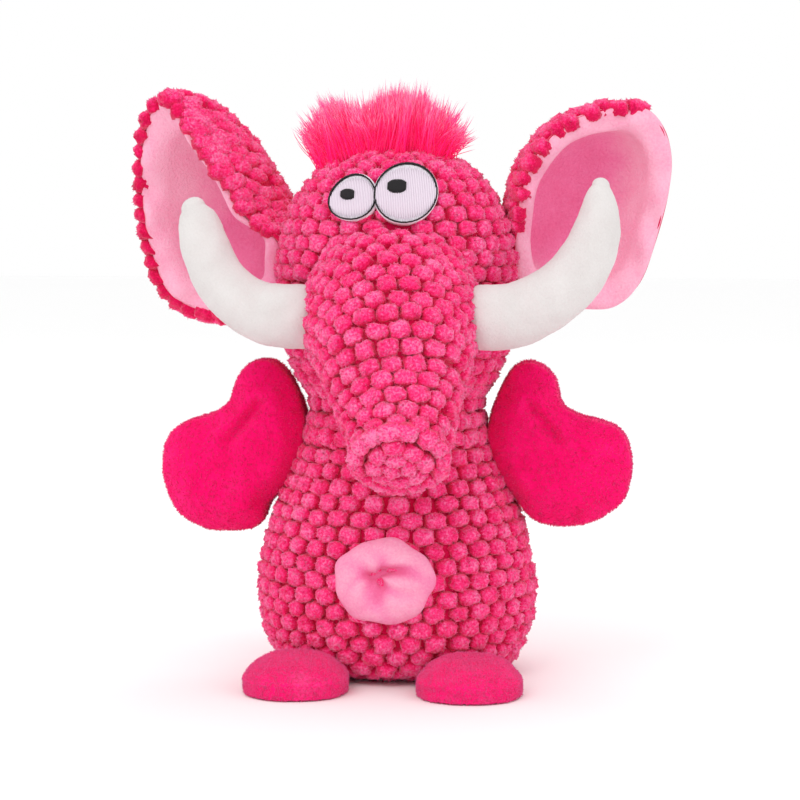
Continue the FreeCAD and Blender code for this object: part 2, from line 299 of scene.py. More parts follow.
def node_material(name):
    """An empty node material with its shader, and a function that adds linked nodes."""
    material = bpy.data.materials.new(name)
    material.use_nodes = True
    tree = material.node_tree
    shader = tree.nodes["Principled BSDF"]

    def add(kind, inputs=(), **settings):
        node = tree.nodes.new(kind)
        for key, value in settings.items():
            setattr(node, key, value)
        for socket, value in dict(inputs).items():
            if isinstance(value, bpy.types.NodeSocket):
                tree.links.new(value, node.inputs[socket])
            else:
                node.inputs[socket].default_value = value
        return node

    return material, tree, shader, add


def ramp_of(add, factor, stops):
    """A colour ramp through (position, colour) stops."""
    node = add("ShaderNodeValToRGB", {"Fac": factor})
    elements = node.color_ramp.elements
    while len(elements) < len(stops):
        elements.new(0.5)
    for element, (position, colour) in zip(elements, stops):
        element.position = position
        element.color = (*colour, 1.0)
    return node.outputs["Color"]


def cloth_material(name, stops, grain_size, grain_depth, grain_mix, sheen, sheen_tint, roughness=0.9):
    """Cloth whose colour runs from painted shade in its creases to painted highlight on its tops, with fine fibre
    grain.
    """
    material, tree, shader, add = node_material(name)
    coords = add("ShaderNodeTexCoord").outputs["Object"]
    tint = add("ShaderNodeAttribute", attribute_name="tint")
    parts = add("ShaderNodeSeparateColor", {"Color": tint.outputs["Color"]})
    fine = add("ShaderNodeTexNoise", {"Vector": coords, "Scale": 1.0 / grain_size,
                                      "Detail": 4.0, "Roughness": 0.65})
    coarse = add("ShaderNodeTexNoise", {"Vector": coords, "Scale": 0.12 / grain_size, "Detail": 2.0})
    speck = add("ShaderNodeMath", {0: fine.outputs["Fac"], 1: -0.5}, operation="ADD")
    speck = add("ShaderNodeMath", {0: speck.outputs[0], 1: grain_mix}, operation="MULTIPLY")
    patch = add("ShaderNodeMath", {0: coarse.outputs["Fac"], 1: -0.5}, operation="ADD")
    patch = add("ShaderNodeMath", {0: patch.outputs[0], 1: grain_mix * 0.4}, operation="MULTIPLY")
    level = add("ShaderNodeMath", {0: parts.outputs["Red"], 1: speck.outputs[0]}, operation="ADD")
    level = add("ShaderNodeMath", {0: level.outputs[0], 1: patch.outputs[0]}, operation="ADD")
    shade = add("ShaderNodeMath", {0: parts.outputs["Green"], 1: -0.5}, operation="ADD")
    shade = add("ShaderNodeMath", {0: shade.outputs[0], 1: 0.14}, operation="MULTIPLY")
    level = add("ShaderNodeMath", {0: level.outputs[0], 1: shade.outputs[0]}, operation="ADD")
    tree.links.new(ramp_of(add, level.outputs[0], stops), shader.inputs["Base Color"])
    bump = add("ShaderNodeBump", {"Height": fine.outputs["Fac"], "Distance": grain_depth,
                                  "Strength": 0.8})
    tree.links.new(bump.outputs["Normal"], shader.inputs["Normal"])
    shader.inputs["Roughness"].default_value = roughness
    shader.inputs["Specular IOR Level"].default_value = 0.15
    shader.inputs["Sheen Weight"].default_value = sheen
    shader.inputs["Sheen Roughness"].default_value = 0.45
    shader.inputs["Sheen Tint"].default_value = (*sheen_tint, 1.0)
    return material


# From first stop to last, the bubble, pile and hair ramps run from painted shade in gaps, creases, roots and hollows
# to painted highlight and sheen on tops and tips; WHITE_STOPS only varies at random.
BUBBLE_STOPS = [(0.0, (0.72, 0.0, 0.075)), (0.30, (0.90, 0.006, 0.125)), (0.55, (0.97, 0.028, 0.195)),
                (0.80, (1.0, 0.078, 0.29)), (1.0, (1.0, 0.21, 0.43))]
HOT_STOPS = [(0.0, (0.80, 0.0, 0.095)), (0.45, (0.95, 0.0, 0.155)), (0.75, (0.99, 0.012, 0.20)),
             (1.0, (1.0, 0.09, 0.32))]
PALE_STOPS = [(0.0, (0.86, 0.15, 0.34)), (0.35, (0.92, 0.23, 0.45)), (0.7, (0.95, 0.36, 0.54)),
              (1.0, (0.97, 0.48, 0.63))]
WHITE_STOPS = [(0.0, (0.56, 0.50, 0.49)), (0.5, (0.66, 0.62, 0.61)), (1.0, (0.74, 0.71, 0.70))]
HAIR_STOPS = [(0.0, (1.0, 0.0, 0.13)), (0.35, (1.0, 0.005, 0.19)), (0.7, (1.0, 0.09, 0.32)),
              (1.0, (1.0, 0.42, 0.62))]

BUBBLE = cloth_material("bubble_chenille", BUBBLE_STOPS, 0.75 * MM, 0.5 * MM, 2.3, 0.5, (1, 0.66, 0.77))
HOT_PILE = cloth_material("hot_pink_pile", HOT_STOPS, 0.7 * MM, 0.25 * MM, 0.7, 0.3, (1, 0.5, 0.7))
PALE_PILE = cloth_material("pale_pink_pile", PALE_STOPS, 0.8 * MM, 0.6 * MM, 0.8, 0.25, (1, 0.85, 0.92))
WHITE_PILE = cloth_material("white_pile", WHITE_STOPS, 0.7 * MM, 0.3 * MM, 0.6, 0.1, (1, 1, 1))
HAIR = cloth_material("hair_fur", HAIR_STOPS, 0.5 * MM, 0.05 * MM, 0.3, 0.5, (1, 0.35, 0.6), 0.8)
# Painted glow: a faint pink emission makes the hair brighter than its lamps light it.
for socket, value in (("Emission Color", (1.0, 0.02, 0.17, 1.0)), ("Emission Strength", 0.2)):
    HAIR.node_tree.nodes["Principled BSDF"].inputs[socket].default_value = value
FELT = cloth_material("eye_felt", [(0.0, (0.74, 0.68, 0.78)), (1.0, (0.90, 0.87, 0.92))],
                      0.5 * MM, 0.1 * MM, 0.4, 0.1, (1, 1, 1))
WHITE_THREAD = cloth_material("white_thread", [(0.0, (0.48, 0.38, 0.47)), (1.0, (0.80, 0.70, 0.79))],
                              0.4 * MM, 0.05 * MM, 0.3, 0.05, (1, 1, 1), 0.5)
BLACK_THREAD = cloth_material("black_thread", [(0.0, (0.004, 0.003, 0.004)), (1.0, (0.02, 0.018, 0.02))],
                              0.4 * MM, 0.05 * MM, 0.3, 0.05, (1, 1, 1), 0.5)
FIBRE = cloth_material("polyester_fibre", WHITE_STOPS, 1.6 * MM, 0.6 * MM, 1.0, 0.2, (1, 1, 1))
PLASTIC = cloth_material("squeaker_plastic", [(0.0, (0.60, 0.62, 0.62)), (1.0, (0.72, 0.74, 0.74))],
                         4.0 * MM, 0.02 * MM, 0.3, 0.0, (1, 1, 1), 0.35)


# ---------------------------------------------------------------- bubble chenille
BUBBLE_PITCH_U = 7.9 * MM
BUBBLE_PITCH_V = 5.25 * MM
BUBBLE_HALF_U = 3.35 * MM
BUBBLE_HALF_V = 2.75 * MM
BUBBLE_TALL = 3.1 * MM
BACKING_INSET = 2.7 * MM
BUBBLE_RINGS = 10
BUBBLE_SPOKES = 28
BUBBLE_HAIRS = 52
NARROWEST = 0.36    # a bubble that a seam leaves narrower than this part of its width is left out
BUBBLE_KINDS = 36


def spikes(places, outward, length, width, seed, comb=(0, 0, 0), shade=(0.55, 1.0)):
    """Short closed hairs: one small pyramid at each place. shade holds the colour levels of the roots and the tips:
    painted shade at the roots, painted sheen at the tips.
    """
    random = np.random.default_rng(seed)
    count = len(places)
    heading = unit(outward + random.normal(0, 0.35, (count, 3)) + np.asarray(comb, float))
    side = unit(np.cross(heading, random.normal(0, 1, (count, 3))))
    other = np.cross(heading, side)
    size = width * random.uniform(0.7, 1.2, (count, 1))
    tall = length * random.uniform(0.6, 1.25, (count, 1))
    root = places - outward * 0.15 * MM
    corners = [root + (side * math.cos(a) + other * math.sin(a)) * size for a in (0, 2.094, 4.189)]
    verts = np.stack([*corners, places + heading * tall], axis=1).reshape(-1, 3)
    faces = []
    for i in range(0, 4 * count, 4):
        faces += [(i + 2, i + 1, i), (i, i + 1, i + 3), (i + 1, i + 2, i + 3), (i + 2, i, i + 3)]
    tint = np.empty((count, 4, 2))
    tint[:, :3, 0], tint[:, 3, 0] = np.reshape(shade[0], (-1, 1)), shade[1]
    tint[:, :, 1] = random.random((count, 1))
    return verts, faces, tint.reshape(-1, 2)


def join(parts):
    """One set of verts, faces and tints from several."""
    verts, faces, tints = [], [], []
    start = 0
    for part_verts, part_faces, part_tints in parts:
        verts.append(part_verts)
        faces += [[start + k for k in face] for face in part_faces]
        tints.append(part_tints)
        start += len(part_verts)
    return np.vstack(verts), faces, np.vstack(tints)


def bubble_kinds():
    """Several lumpy closed bubbles of unit size: places, heights and the faces they share."""
    polar = np.linspace(0, math.radians(128), BUBBLE_RINGS)[1:]
    around = np.arange(BUBBLE_SPOKES) * 2 * math.pi / BUBBLE_SPOKES
    verts = [(0.0, 0.0, 1.0)]
    for angle in polar:
        for turn in around:
            verts.append((math.sin(angle) * math.cos(turn), math.sin(angle) * math.sin(turn),
                          math.cos(angle)))
    verts.append((0.0, 0.0, math.cos(polar[-1])))
    verts = np.array(verts)
    square = np.sign(verts[:, :2]) * np.abs(verts[:, :2]) ** 0.70
    verts = np.column_stack([square, np.sign(verts[:, 2]) * np.abs(verts[:, 2]) ** 0.78])
    last = len(verts) - 1
    faces = [(0, 1 + j, 1 + (j + 1) % BUBBLE_SPOKES) for j in range(BUBBLE_SPOKES)]
    faces += grid_faces(len(polar), BUBBLE_SPOKES, True, 1, True)
    start = last - BUBBLE_SPOKES
    faces += [(last, start + (j + 1) % BUBBLE_SPOKES, start + j) for j in range(BUBBLE_SPOKES)]
    kinds = []
    for kind in range(BUBBLE_KINDS):
        outward = unit(verts)
        lumps = 0.20 * grain(verts, 0.55, kind) + 0.22 * grain(verts, 0.21, kind + 50)
        kinds.append(verts + outward * lumps[:, None])
    return np.array(kinds), faces


KINDS, KIND_FACES = bubble_kinds()


def frame_at(place, u, v):
    """Points of a cloth surface, with the directions across it, up it and out of it."""
    step = 0.3 * MM
    here = place(u, v)
    across = unit(place(u + step, v) - place(u - step, v))
    up = unit(place(u, v + step) - place(u, v - step))
    out = unit(np.cross(across, up))
    return here, across, np.cross(out, across), out


def bubbles(place, rows, seed, tall=1.0, droop=0.10, keep=None):
    """Verts, faces and tints of the bubbles on a cloth.

    rows lists (v, lowest u, highest u, shift): each row has bubbles a pitch apart, and one that
    a seam cuts is narrower. keep says which places have one."""
    random = np.random.default_rng(seed)
    spots = []
    for v, low, high, shift in rows:
        first = math.floor((low - shift) / BUBBLE_PITCH_U) - 1
        last = math.ceil((high - shift) / BUBBLE_PITCH_U) + 1
        for i in range(first, last + 1):
            middle = shift + i * BUBBLE_PITCH_U
            left = max(middle - BUBBLE_HALF_U, low)
            right = min(middle + BUBBLE_HALF_U, high)
            if right - left > NARROWEST * BUBBLE_HALF_U * 2:
                spots.append(((left + right) / 2, v, (right - left) / 2))
    spots = np.array(spots)
    count = len(spots)
    u = spots[:, 0] + random.normal(0, 0.22 * MM, count)
    v = spots[:, 1] + random.normal(0, 0.20 * MM, count)
    if keep is not None:
        stays = keep(place(u, v))
        spots, u, v = spots[stays], u[stays], v[stays]
    return bubble_meshes(*frame_at(place, u, v), spots[:, 2], random, tall, droop)


def bubble_meshes(here, across, up, out, half_width, random, tall=1.0, droop=0.10, lighter=0.0):
    """Verts, faces and tints of lumpy bubbles at these places."""
    count = len(here)
    lean = random.normal(0, 0.12, count)[:, None]
    across, up = across + up * lean, up - across * lean
    up, out = up + out * droop, out - up * droop
    grow = random.normal(1.0, 0.055, (count, 3))
    shape = KINDS[random.integers(0, BUBBLE_KINDS, count)]
    half_u = (half_width * grow[:, 0])[:, None, None]
    half_v = (BUBBLE_HALF_V * grow[:, 1])[:, None, None]
    height = (BUBBLE_TALL * tall * grow[:, 2])[:, None, None]
    verts = (here[:, None] + across[:, None] * shape[..., :1] * half_u
             + up[:, None] * shape[..., 1:2] * half_v + out[:, None] * shape[..., 2:3] * height)
    faces = []
    per = KINDS.shape[1]
    for n in range(count):
        base = n * per
        faces += [[base + k for k in face] for face in KIND_FACES]
    # Painted shade and highlight: each bubble is coloured darker round its base and lighter towards its top, and the
    # extra level passed in lifts the whole bubble as painted light.
    rise = 0.02 + 0.66 * smoothstep(-0.1, 0.95, shape[..., 2]) + lighter
    tint = np.stack([rise, np.repeat(random.random((count, 1)), per, axis=1)], axis=-1)
    skin = verts.reshape(-1, 3), faces, tint.reshape(-1, 2)

    ring = random.integers(0, 6, (count, BUBBLE_HAIRS))
    spoke = random.integers(0, BUBBLE_SPOKES, (count, BUBBLE_HAIRS))
    near = 1 + ring * BUBBLE_SPOKES + spoke
    following = 1 + ring * BUBBLE_SPOKES + (spoke + 1) % BUBBLE_SPOKES
    lower = near + BUBBLE_SPOKES
    row = np.arange(count)[:, None]
    a, b = random.random((2, count, BUBBLE_HAIRS, 1)) * 0.8
    places = (verts[row, near] + (verts[row, following] - verts[row, near]) * a
              + (verts[row, lower] - verts[row, near]) * b)
    middle = here[:, None] + out[:, None] * 0.2 * height
    outward = unit(places - middle)
    level = rise[row, near].reshape(-1)
    # The hairs start at the bubble's colour level and end 0.34 lighter: painted sheen on their tips.
    hairs = spikes(places.reshape(-1, 3), outward.reshape(-1, 3), 0.72 * MM, 0.24 * MM,
                   int(random.integers(1, 9999)), shade=(level, level + 0.34))
    return join([skin, hairs])


def backing(place, corners, rows, columns, wall=1.2 * MM):
    """A closed thin cloth under the bubbles, between corner values (low u(v), high u(v), low v, high v)."""
    low_u, high_u, low_v, high_v = corners
    verts = []
    for i in range(rows):
        v = low_v + (high_v - low_v) * i / (rows - 1)
        across = np.linspace(low_u(v), high_u(v), columns)
        verts.append(np.column_stack([across, np.full(columns, v)]))
    flat = np.vstack(verts)
    here, _, _, out = frame_at(place, flat[:, 0], flat[:, 1])
    inner = here - out * wall
    faces = grid_faces(rows, columns, False) + grid_faces(rows, columns, False, len(here), True)
    edge = ([j for j in range(columns)] + [i * columns + columns - 1 for i in range(1, rows)]
            + [(rows - 1) * columns + j for j in range(columns - 2, -1, -1)]
            + [i * columns for i in range(rows - 2, 0, -1)])
    for a, b in zip(edge, edge[1:] + edge[:1]):
        faces.append((b, a, a + len(here), b + len(here)))
    verts = np.vstack([here, inner])
    # The backing takes the darkest colour of the ramp: painted shade for the gaps between the bubbles.
    return verts, faces, even_tint(len(verts), -0.1)


# ---------------------------------------------------------------- round panels: body and head
class Round:
    """A stuffed shape, round seen from above, with a profile of (radius, height)."""

    def __init__(self, profile, depth_ratio, centre=(0.0, 0.0)):
        line = spline(profile, 600)
        slope = unit(np.gradient(line, axis=0))
        self.radius, self.height = line[:, 0], line[:, 1]
        self.out_radius, self.out_height = slope[:, 1], -slope[:, 0]
        steps = np.hypot(np.diff(self.radius), np.diff(self.height))
        self.along = np.concatenate([[0], np.cumsum(steps)])
        self.length = self.along[-1]
        self.depth_ratio = depth_ratio
        self.centre = centre

    def around(self, v):
        """Mean radius at a distance v up the cloth."""
        return np.maximum(np.interp(v, self.along, self.radius), 0.5 * MM) * (1 + self.depth_ratio) / 2

    def at_height(self, height):
        """Distance up the cloth of a height, on the outer side."""
        return np.interp(height, self.height, self.along)

    def place(self, facing, inset=0.0):
        """A function from (u, v) on the front (facing -1) or back (+1) cloth to a point."""
        def point(u, v):
            u, v = np.broadcast_arrays(np.asarray(u, float), np.asarray(v, float))
            radius = np.interp(v, self.along, self.radius - inset * self.out_radius)
            turn = u / self.around(v)
            x = self.centre[0] - facing * radius * np.sin(turn)
            y = self.centre[1] + facing * radius * self.depth_ratio * np.cos(turn)
            z = np.interp(v, self.along, self.height - inset * self.out_height)
            return np.stack([x, y, z], axis=-1)
        return point

    def face(self, x, z, lift=0.0):
        """Points of the front at (x, z), lifted out of the cloth."""
        x, z = np.broadcast_arrays(np.asarray(x, float), np.asarray(z, float))

        def flat(x, z):
            radius = np.interp(z, self.height, self.radius)
            return -self.depth_ratio * np.sqrt(np.maximum(radius ** 2 - x ** 2, (0.5 * MM) ** 2))

        step = 0.5 * MM
        out = unit(np.stack([(flat(x + step, z) - flat(x - step, z)) / (2 * step), np.full_like(x, -1.0),
                             (flat(x, z + step) - flat(x, z - step)) / (2 * step)], axis=-1))
        return np.stack([x, flat(x, z), z], axis=-1) + out * np.asarray(lift)[..., None]


def half_round_rows(shape, low, high, first_row=0):
    """Rows of bubbles over half of a round shape, between two side seams."""
    rows = []
    count = int((high - low) / BUBBLE_PITCH_V) + 1
    for i in range(count):
        v = low + (i + 0.5) * (high - low) / count
        half = shape.around(v) * math.pi / 2
        shift = ((i + first_row) % 2) * BUBBLE_PITCH_U / 2
        rows.append((v, -half, half, shift))
    return rows


def scattered(points, count, seed, rounds=14):
    """Indices of count points spread evenly over a dense cloud of them."""
    random = np.random.default_rng(seed)
    centres = points[random.choice(len(points), count, replace=False)]
    for _ in range(rounds):
        nearest = np.argmin(((points[:, None] - centres[None]) ** 2).sum(-1), axis=1)
        total = np.zeros_like(centres)
        np.add.at(total, nearest, points)
        hits = np.bincount(nearest, minlength=count)[:, None]
        centres = np.where(hits > 0, total / np.maximum(hits, 1), centres)
    return np.argmin(((centres[:, None] - points[None]) ** 2).sum(-1), axis=1)


def half_round_panel(name, shape, facing, low, high, seed, nodes, body, keep=None, first_row=0):
    """A front or back panel: closed backing with its bubbles, as one piece."""
    place = shape.place(facing, BACKING_INSET)
    edge = (lambda v: -shape.around(v) * math.pi / 2, lambda v: shape.around(v) * math.pi / 2, low, high)
    cloth = backing(place, edge, 40, 48)
    lumps = bubbles(place, half_round_rows(shape, low, high, first_row=first_row), seed, keep=keep)
    verts, faces, tint = join([cloth, lumps])
    piece = add_mesh(name, verts, faces, BUBBLE, tint)
    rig.replaces(piece, *nodes)
    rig.slot(piece, "bubble_plush")
    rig.padded(piece, fill=0.9)
    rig.ride(piece, body)
    return piece


BODY_LOW, BODY_HIGH = node_box("body_front_panel", "body_back_panel", "body_base_panel")
BODY_WIDE = (BODY_HIGH[0] - BODY_LOW[0]) / 2
BODY_TALL = BODY_HIGH[2] - BODY_LOW[2]
BODY_PROFILE = [(0.50, 0.0), (0.72, 0.012), (0.865, 0.060), (0.955, 0.150), (1.0, 0.26), (1.0, 0.37),
                (0.955, 0.52), (0.87, 0.67), (0.76, 0.81), (0.675, 0.92), (0.645, 0.98), (0.64, 1.05)]
BODY = Round([(r * BODY_WIDE, z * BODY_TALL) for r, z in BODY_PROFILE],
             (BODY_HIGH[1] - BODY_LOW[1]) / (2 * BODY_WIDE))
BASE_EDGE = BODY.at_height(3.2 * MM)

HEAD_LOW, HEAD_HIGH = node_box("head_front_panel", "head_back_panel")
HEAD_WIDE = (HEAD_HIGH[0] - HEAD_LOW[0]) / 2
HEAD_TALL = HEAD_HIGH[2] - HEAD_LOW[2]
HEAD_PROFILE = [(0.73, 0.03), (0.755, 0.08), (0.84, 0.14), (0.915, 0.225), (0.985, 0.34), (1.0, 0.47),
                (0.98, 0.62), (0.905, 0.745), (0.79, 0.845), (0.62, 0.925), (0.43, 0.968),
                (0.17, 0.994), (0.0, 1.0)]
HEAD = Round([(r * HEAD_WIDE, HEAD_LOW[2] + z * HEAD_TALL) for r, z in HEAD_PROFILE],
             (HEAD_HIGH[1] - HEAD_LOW[1]) / (2 * HEAD_WIDE))


def make_body():
    """Front and back panels and the round base panel."""
    top = BODY.length - 3 * MM
    half_round_panel("body_front_bubbles", BODY, -1, BASE_EDGE, top, 11, ["body_front_panel"], "torso")
    half_round_panel("body_back_bubbles", BODY, 1, BASE_EDGE, top, 12, ["body_back_panel"], "torso")
    flat = BODY_LOW[2] + BACKING_INSET

    def floor_place(u, v):
        u, v = np.broadcast_arrays(np.asarray(u, float), np.asarray(v, float))
        reach = np.hypot(u, v / BODY.depth_ratio) / (0.80 * BODY_WIDE)
        return np.stack([u, -v, flat + 3.0 * MM * np.clip(reach, 0, 1.3) ** 6], axis=-1)

    rows = []
    reach = 0.80 * BODY_WIDE
    count = int(2 * reach * BODY.depth_ratio / BUBBLE_PITCH_V)
    for i in range(count):
        v = (i + 0.5 - count / 2) * BUBBLE_PITCH_V
        half = reach * math.sqrt(max(1 - (v / (reach * BODY.depth_ratio)) ** 2, 0.0))
        if half > 3 * MM:
            rows.append((v, -half, half, (i % 2) * BUBBLE_PITCH_U / 2))

    def half_width(v):
        return reach * math.sqrt(max(1 - (v / (reach * BODY.depth_ratio * 1.001)) ** 2, 0.004))

    edge = (lambda v: -half_width(v), half_width, -reach * BODY.depth_ratio, reach * BODY.depth_ratio)
    cloth = backing(floor_place, edge, 24, 32)
    lumps = bubbles(floor_place, rows, 13, tall=0.86, droop=0.0)
    verts, faces, tint = join([cloth, lumps])
    piece = add_mesh("body_base_bubbles", verts, faces, BUBBLE, tint)
    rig.replaces(piece, "body_base_panel")
    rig.slot(piece, "bubble_plush")
    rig.padded(piece, fill=0.9)
    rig.ride(piece, "torso")


def make_head():
    """Front and back panels of the head."""
    low = 2 * MM

    def open_face(places):
        return ~TRUNK.holds(places, -2.0 * MM) & ~in_eyes(places, -2.2 * MM)

    half_round_panel("head_front_bubbles", HEAD, -1, low, HEAD.length, 21, ["head_front_panel"], "head",
                     open_face)
    half_round_panel("head_back_bubbles", HEAD, 1, low, HEAD.length, 22, ["head_back_panel"], "head")


# ---------------------------------------------------------------- neck and trunk
NECK = Round([(r * MM, z * MM) for r, z in (
    (31.2, BODY_LOW[2] / MM + 77), (29.6, BODY_HIGH[2] / MM - 2), (28.6, HEAD_LOW[2] / MM + 2),
    (29.4, HEAD_LOW[2] / MM + 6.5), (31.6, HEAD_LOW[2] / MM + 10))], 0.95)


def make_neck():
    """The ring of bubble cloth that bends between the body and the head."""
    parts = []
    for facing, seed in ((-1, 31), (1, 32)):
        place = NECK.place(facing, BACKING_INSET)
        edge = (lambda v: -NECK.around(v) * math.pi / 2, lambda v: NECK.around(v) * math.pi / 2,
                0.0, NECK.length)
        parts.append(backing(place, edge, 16, 48))
        parts.append(bubbles(place, half_round_rows(NECK, 0.0, NECK.length), seed))
    verts, faces, tint = join(parts)
    piece = add_mesh("neck_bubbles", verts, faces, BUBBLE, tint)
    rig.slot(piece, "bubble_plush")
    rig.padded(piece, fill=0.9)
    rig.blend(piece, "torso", "head", (0, 0, NECK.height[0]), (0, 0, NECK.height[-1]))


class Tube:
    """A stuffed tube along a line of (x, y, z, radius), measured from its free end."""

    def __init__(self, line, steady):
        line = spline(line, 400)
        self.middle, self.radius = line[:, :3], line[:, 3]
        steps = np.linalg.norm(np.diff(self.middle, axis=0), axis=1)
        self.along = np.concatenate([[0], np.cumsum(steps)])
        self.length = self.along[-1]
        heading = unit(np.gradient(self.middle, axis=0))
        steady = np.broadcast_to(np.asarray(steady, float), heading.shape)
        self.side = unit(steady - heading * (steady * heading).sum(1, keepdims=True))
        self.front = np.cross(self.side, heading)
        self.heading = heading

    def at(self, v, values):
        """Any of the tube's rows at a distance v along it."""
        return np.stack([np.interp(v, self.along, values[:, k]) for k in range(3)], axis=-1)

    def around(self, v):
        """Radius at a distance v along it."""
        return np.interp(v, self.along, self.radius)

    def place(self, inset=0.0):
        """A function from (u, v) on the cloth to a point; u = 0 is its front."""
        def point(u, v):
            u, v = np.broadcast_arrays(np.asarray(u, float), np.asarray(v, float))
            turn = (u / self.around(v))[..., None]
            radius = (self.around(v) - inset)[..., None]
            return (self.at(v, self.middle) + self.at(v, self.side) * np.sin(turn) * radius
                    + self.at(v, self.front) * np.cos(turn) * radius)
        return point

    def holds(self, places, grow=0.0):
        """Whether places are inside the tube, grown outwards."""
        gap = np.linalg.norm(places[:, None] - self.middle[None, ::8], axis=-1)
        return (gap < self.radius[None, ::8] + grow).any(axis=1)


BEND, CURL = pivot("trunk_bend"), pivot("trunk_curl")
END_LOW, END_HIGH = node_box("trunk_end_panel")
TRUNK_END = (END_LOW + END_HIGH) / 2
TRUNK = Tube([(*(TRUNK_END - np.array([0.3, 0, 0.8]) * MM), 15.2 * MM),
              (*(TRUNK_END * 0.45 + CURL * 0.55 + np.array([0, 0, -0.9]) * MM), 15.8 * MM),
              (*CURL, 17.8 * MM), (*(CURL * 0.5 + BEND * 0.5 + np.array([0, 0.2, -0.6]) * MM), 21.4 * MM),
              (*BEND, 25.8 * MM), (*(BEND + np.array([-1.7, 12.0, 8.7]) * MM), 28.6 * MM),
              (*(BEND + np.array([-2.4, 29.0, 11.6]) * MM), 29.6 * MM)], (1, 0, 0))


def inside_head(places, grow=0.0):
    """Whether places are inside the head, grown outwards."""
    middle = (HEAD_LOW + HEAD_HIGH) / 2
    half = (HEAD_HIGH - HEAD_LOW) / 2 + grow
    return (((places - middle) / half) ** 2).sum(-1) < 1.0


def tube_rows(tube, low, high, pitch):
    """Rows of bubbles right round a tube, a pitch apart along its front."""
    v = np.linspace(low, high, 200)
    front = tube.place()(np.zeros(200), v)
    along = np.concatenate([[0], np.cumsum(np.linalg.norm(np.diff(front, axis=0), axis=1))])
    count = max(round(along[-1] / pitch), 1)
    rows = []
    for i in range(count):
        at = np.interp((i + 0.5) * along[-1] / count, along, v)
        half = tube.around(at) * math.pi
        whole = round(2 * half / BUBBLE_PITCH_U)
        rows.append((at, -half, half, (i % 2) * half / whole))
    return rows


def tube_skin(tube, low, high, inset, rows, columns, wall=1.2 * MM):
    """A closed thin skin right round a tube, open at both ends."""
    v = np.repeat(np.linspace(low, high, rows), columns)
    turn = np.tile(np.arange(columns) * 2 * math.pi / columns, rows)
    outer = tube.place(inset)(turn * tube.around(v), v)
    inner = tube.place(inset + wall)(turn * tube.around(v), v)
    count = len(outer)
    faces = grid_faces(rows, columns, True) + grid_faces(rows, columns, True, count, True)
    for start, flip in ((0, True), ((rows - 1) * columns, False)):
        for j in range(columns):
            k = (j + 1) % columns
            quad = [start + j, start + k, start + k + count, start + j + count]
            faces.append(quad[::-1] if not flip else quad)
    verts = np.vstack([outer, inner])
    # The skin takes the darkest colour of the ramp: painted shade for the gaps between the bubbles.
    return verts, faces, even_tint(len(verts), -0.1)


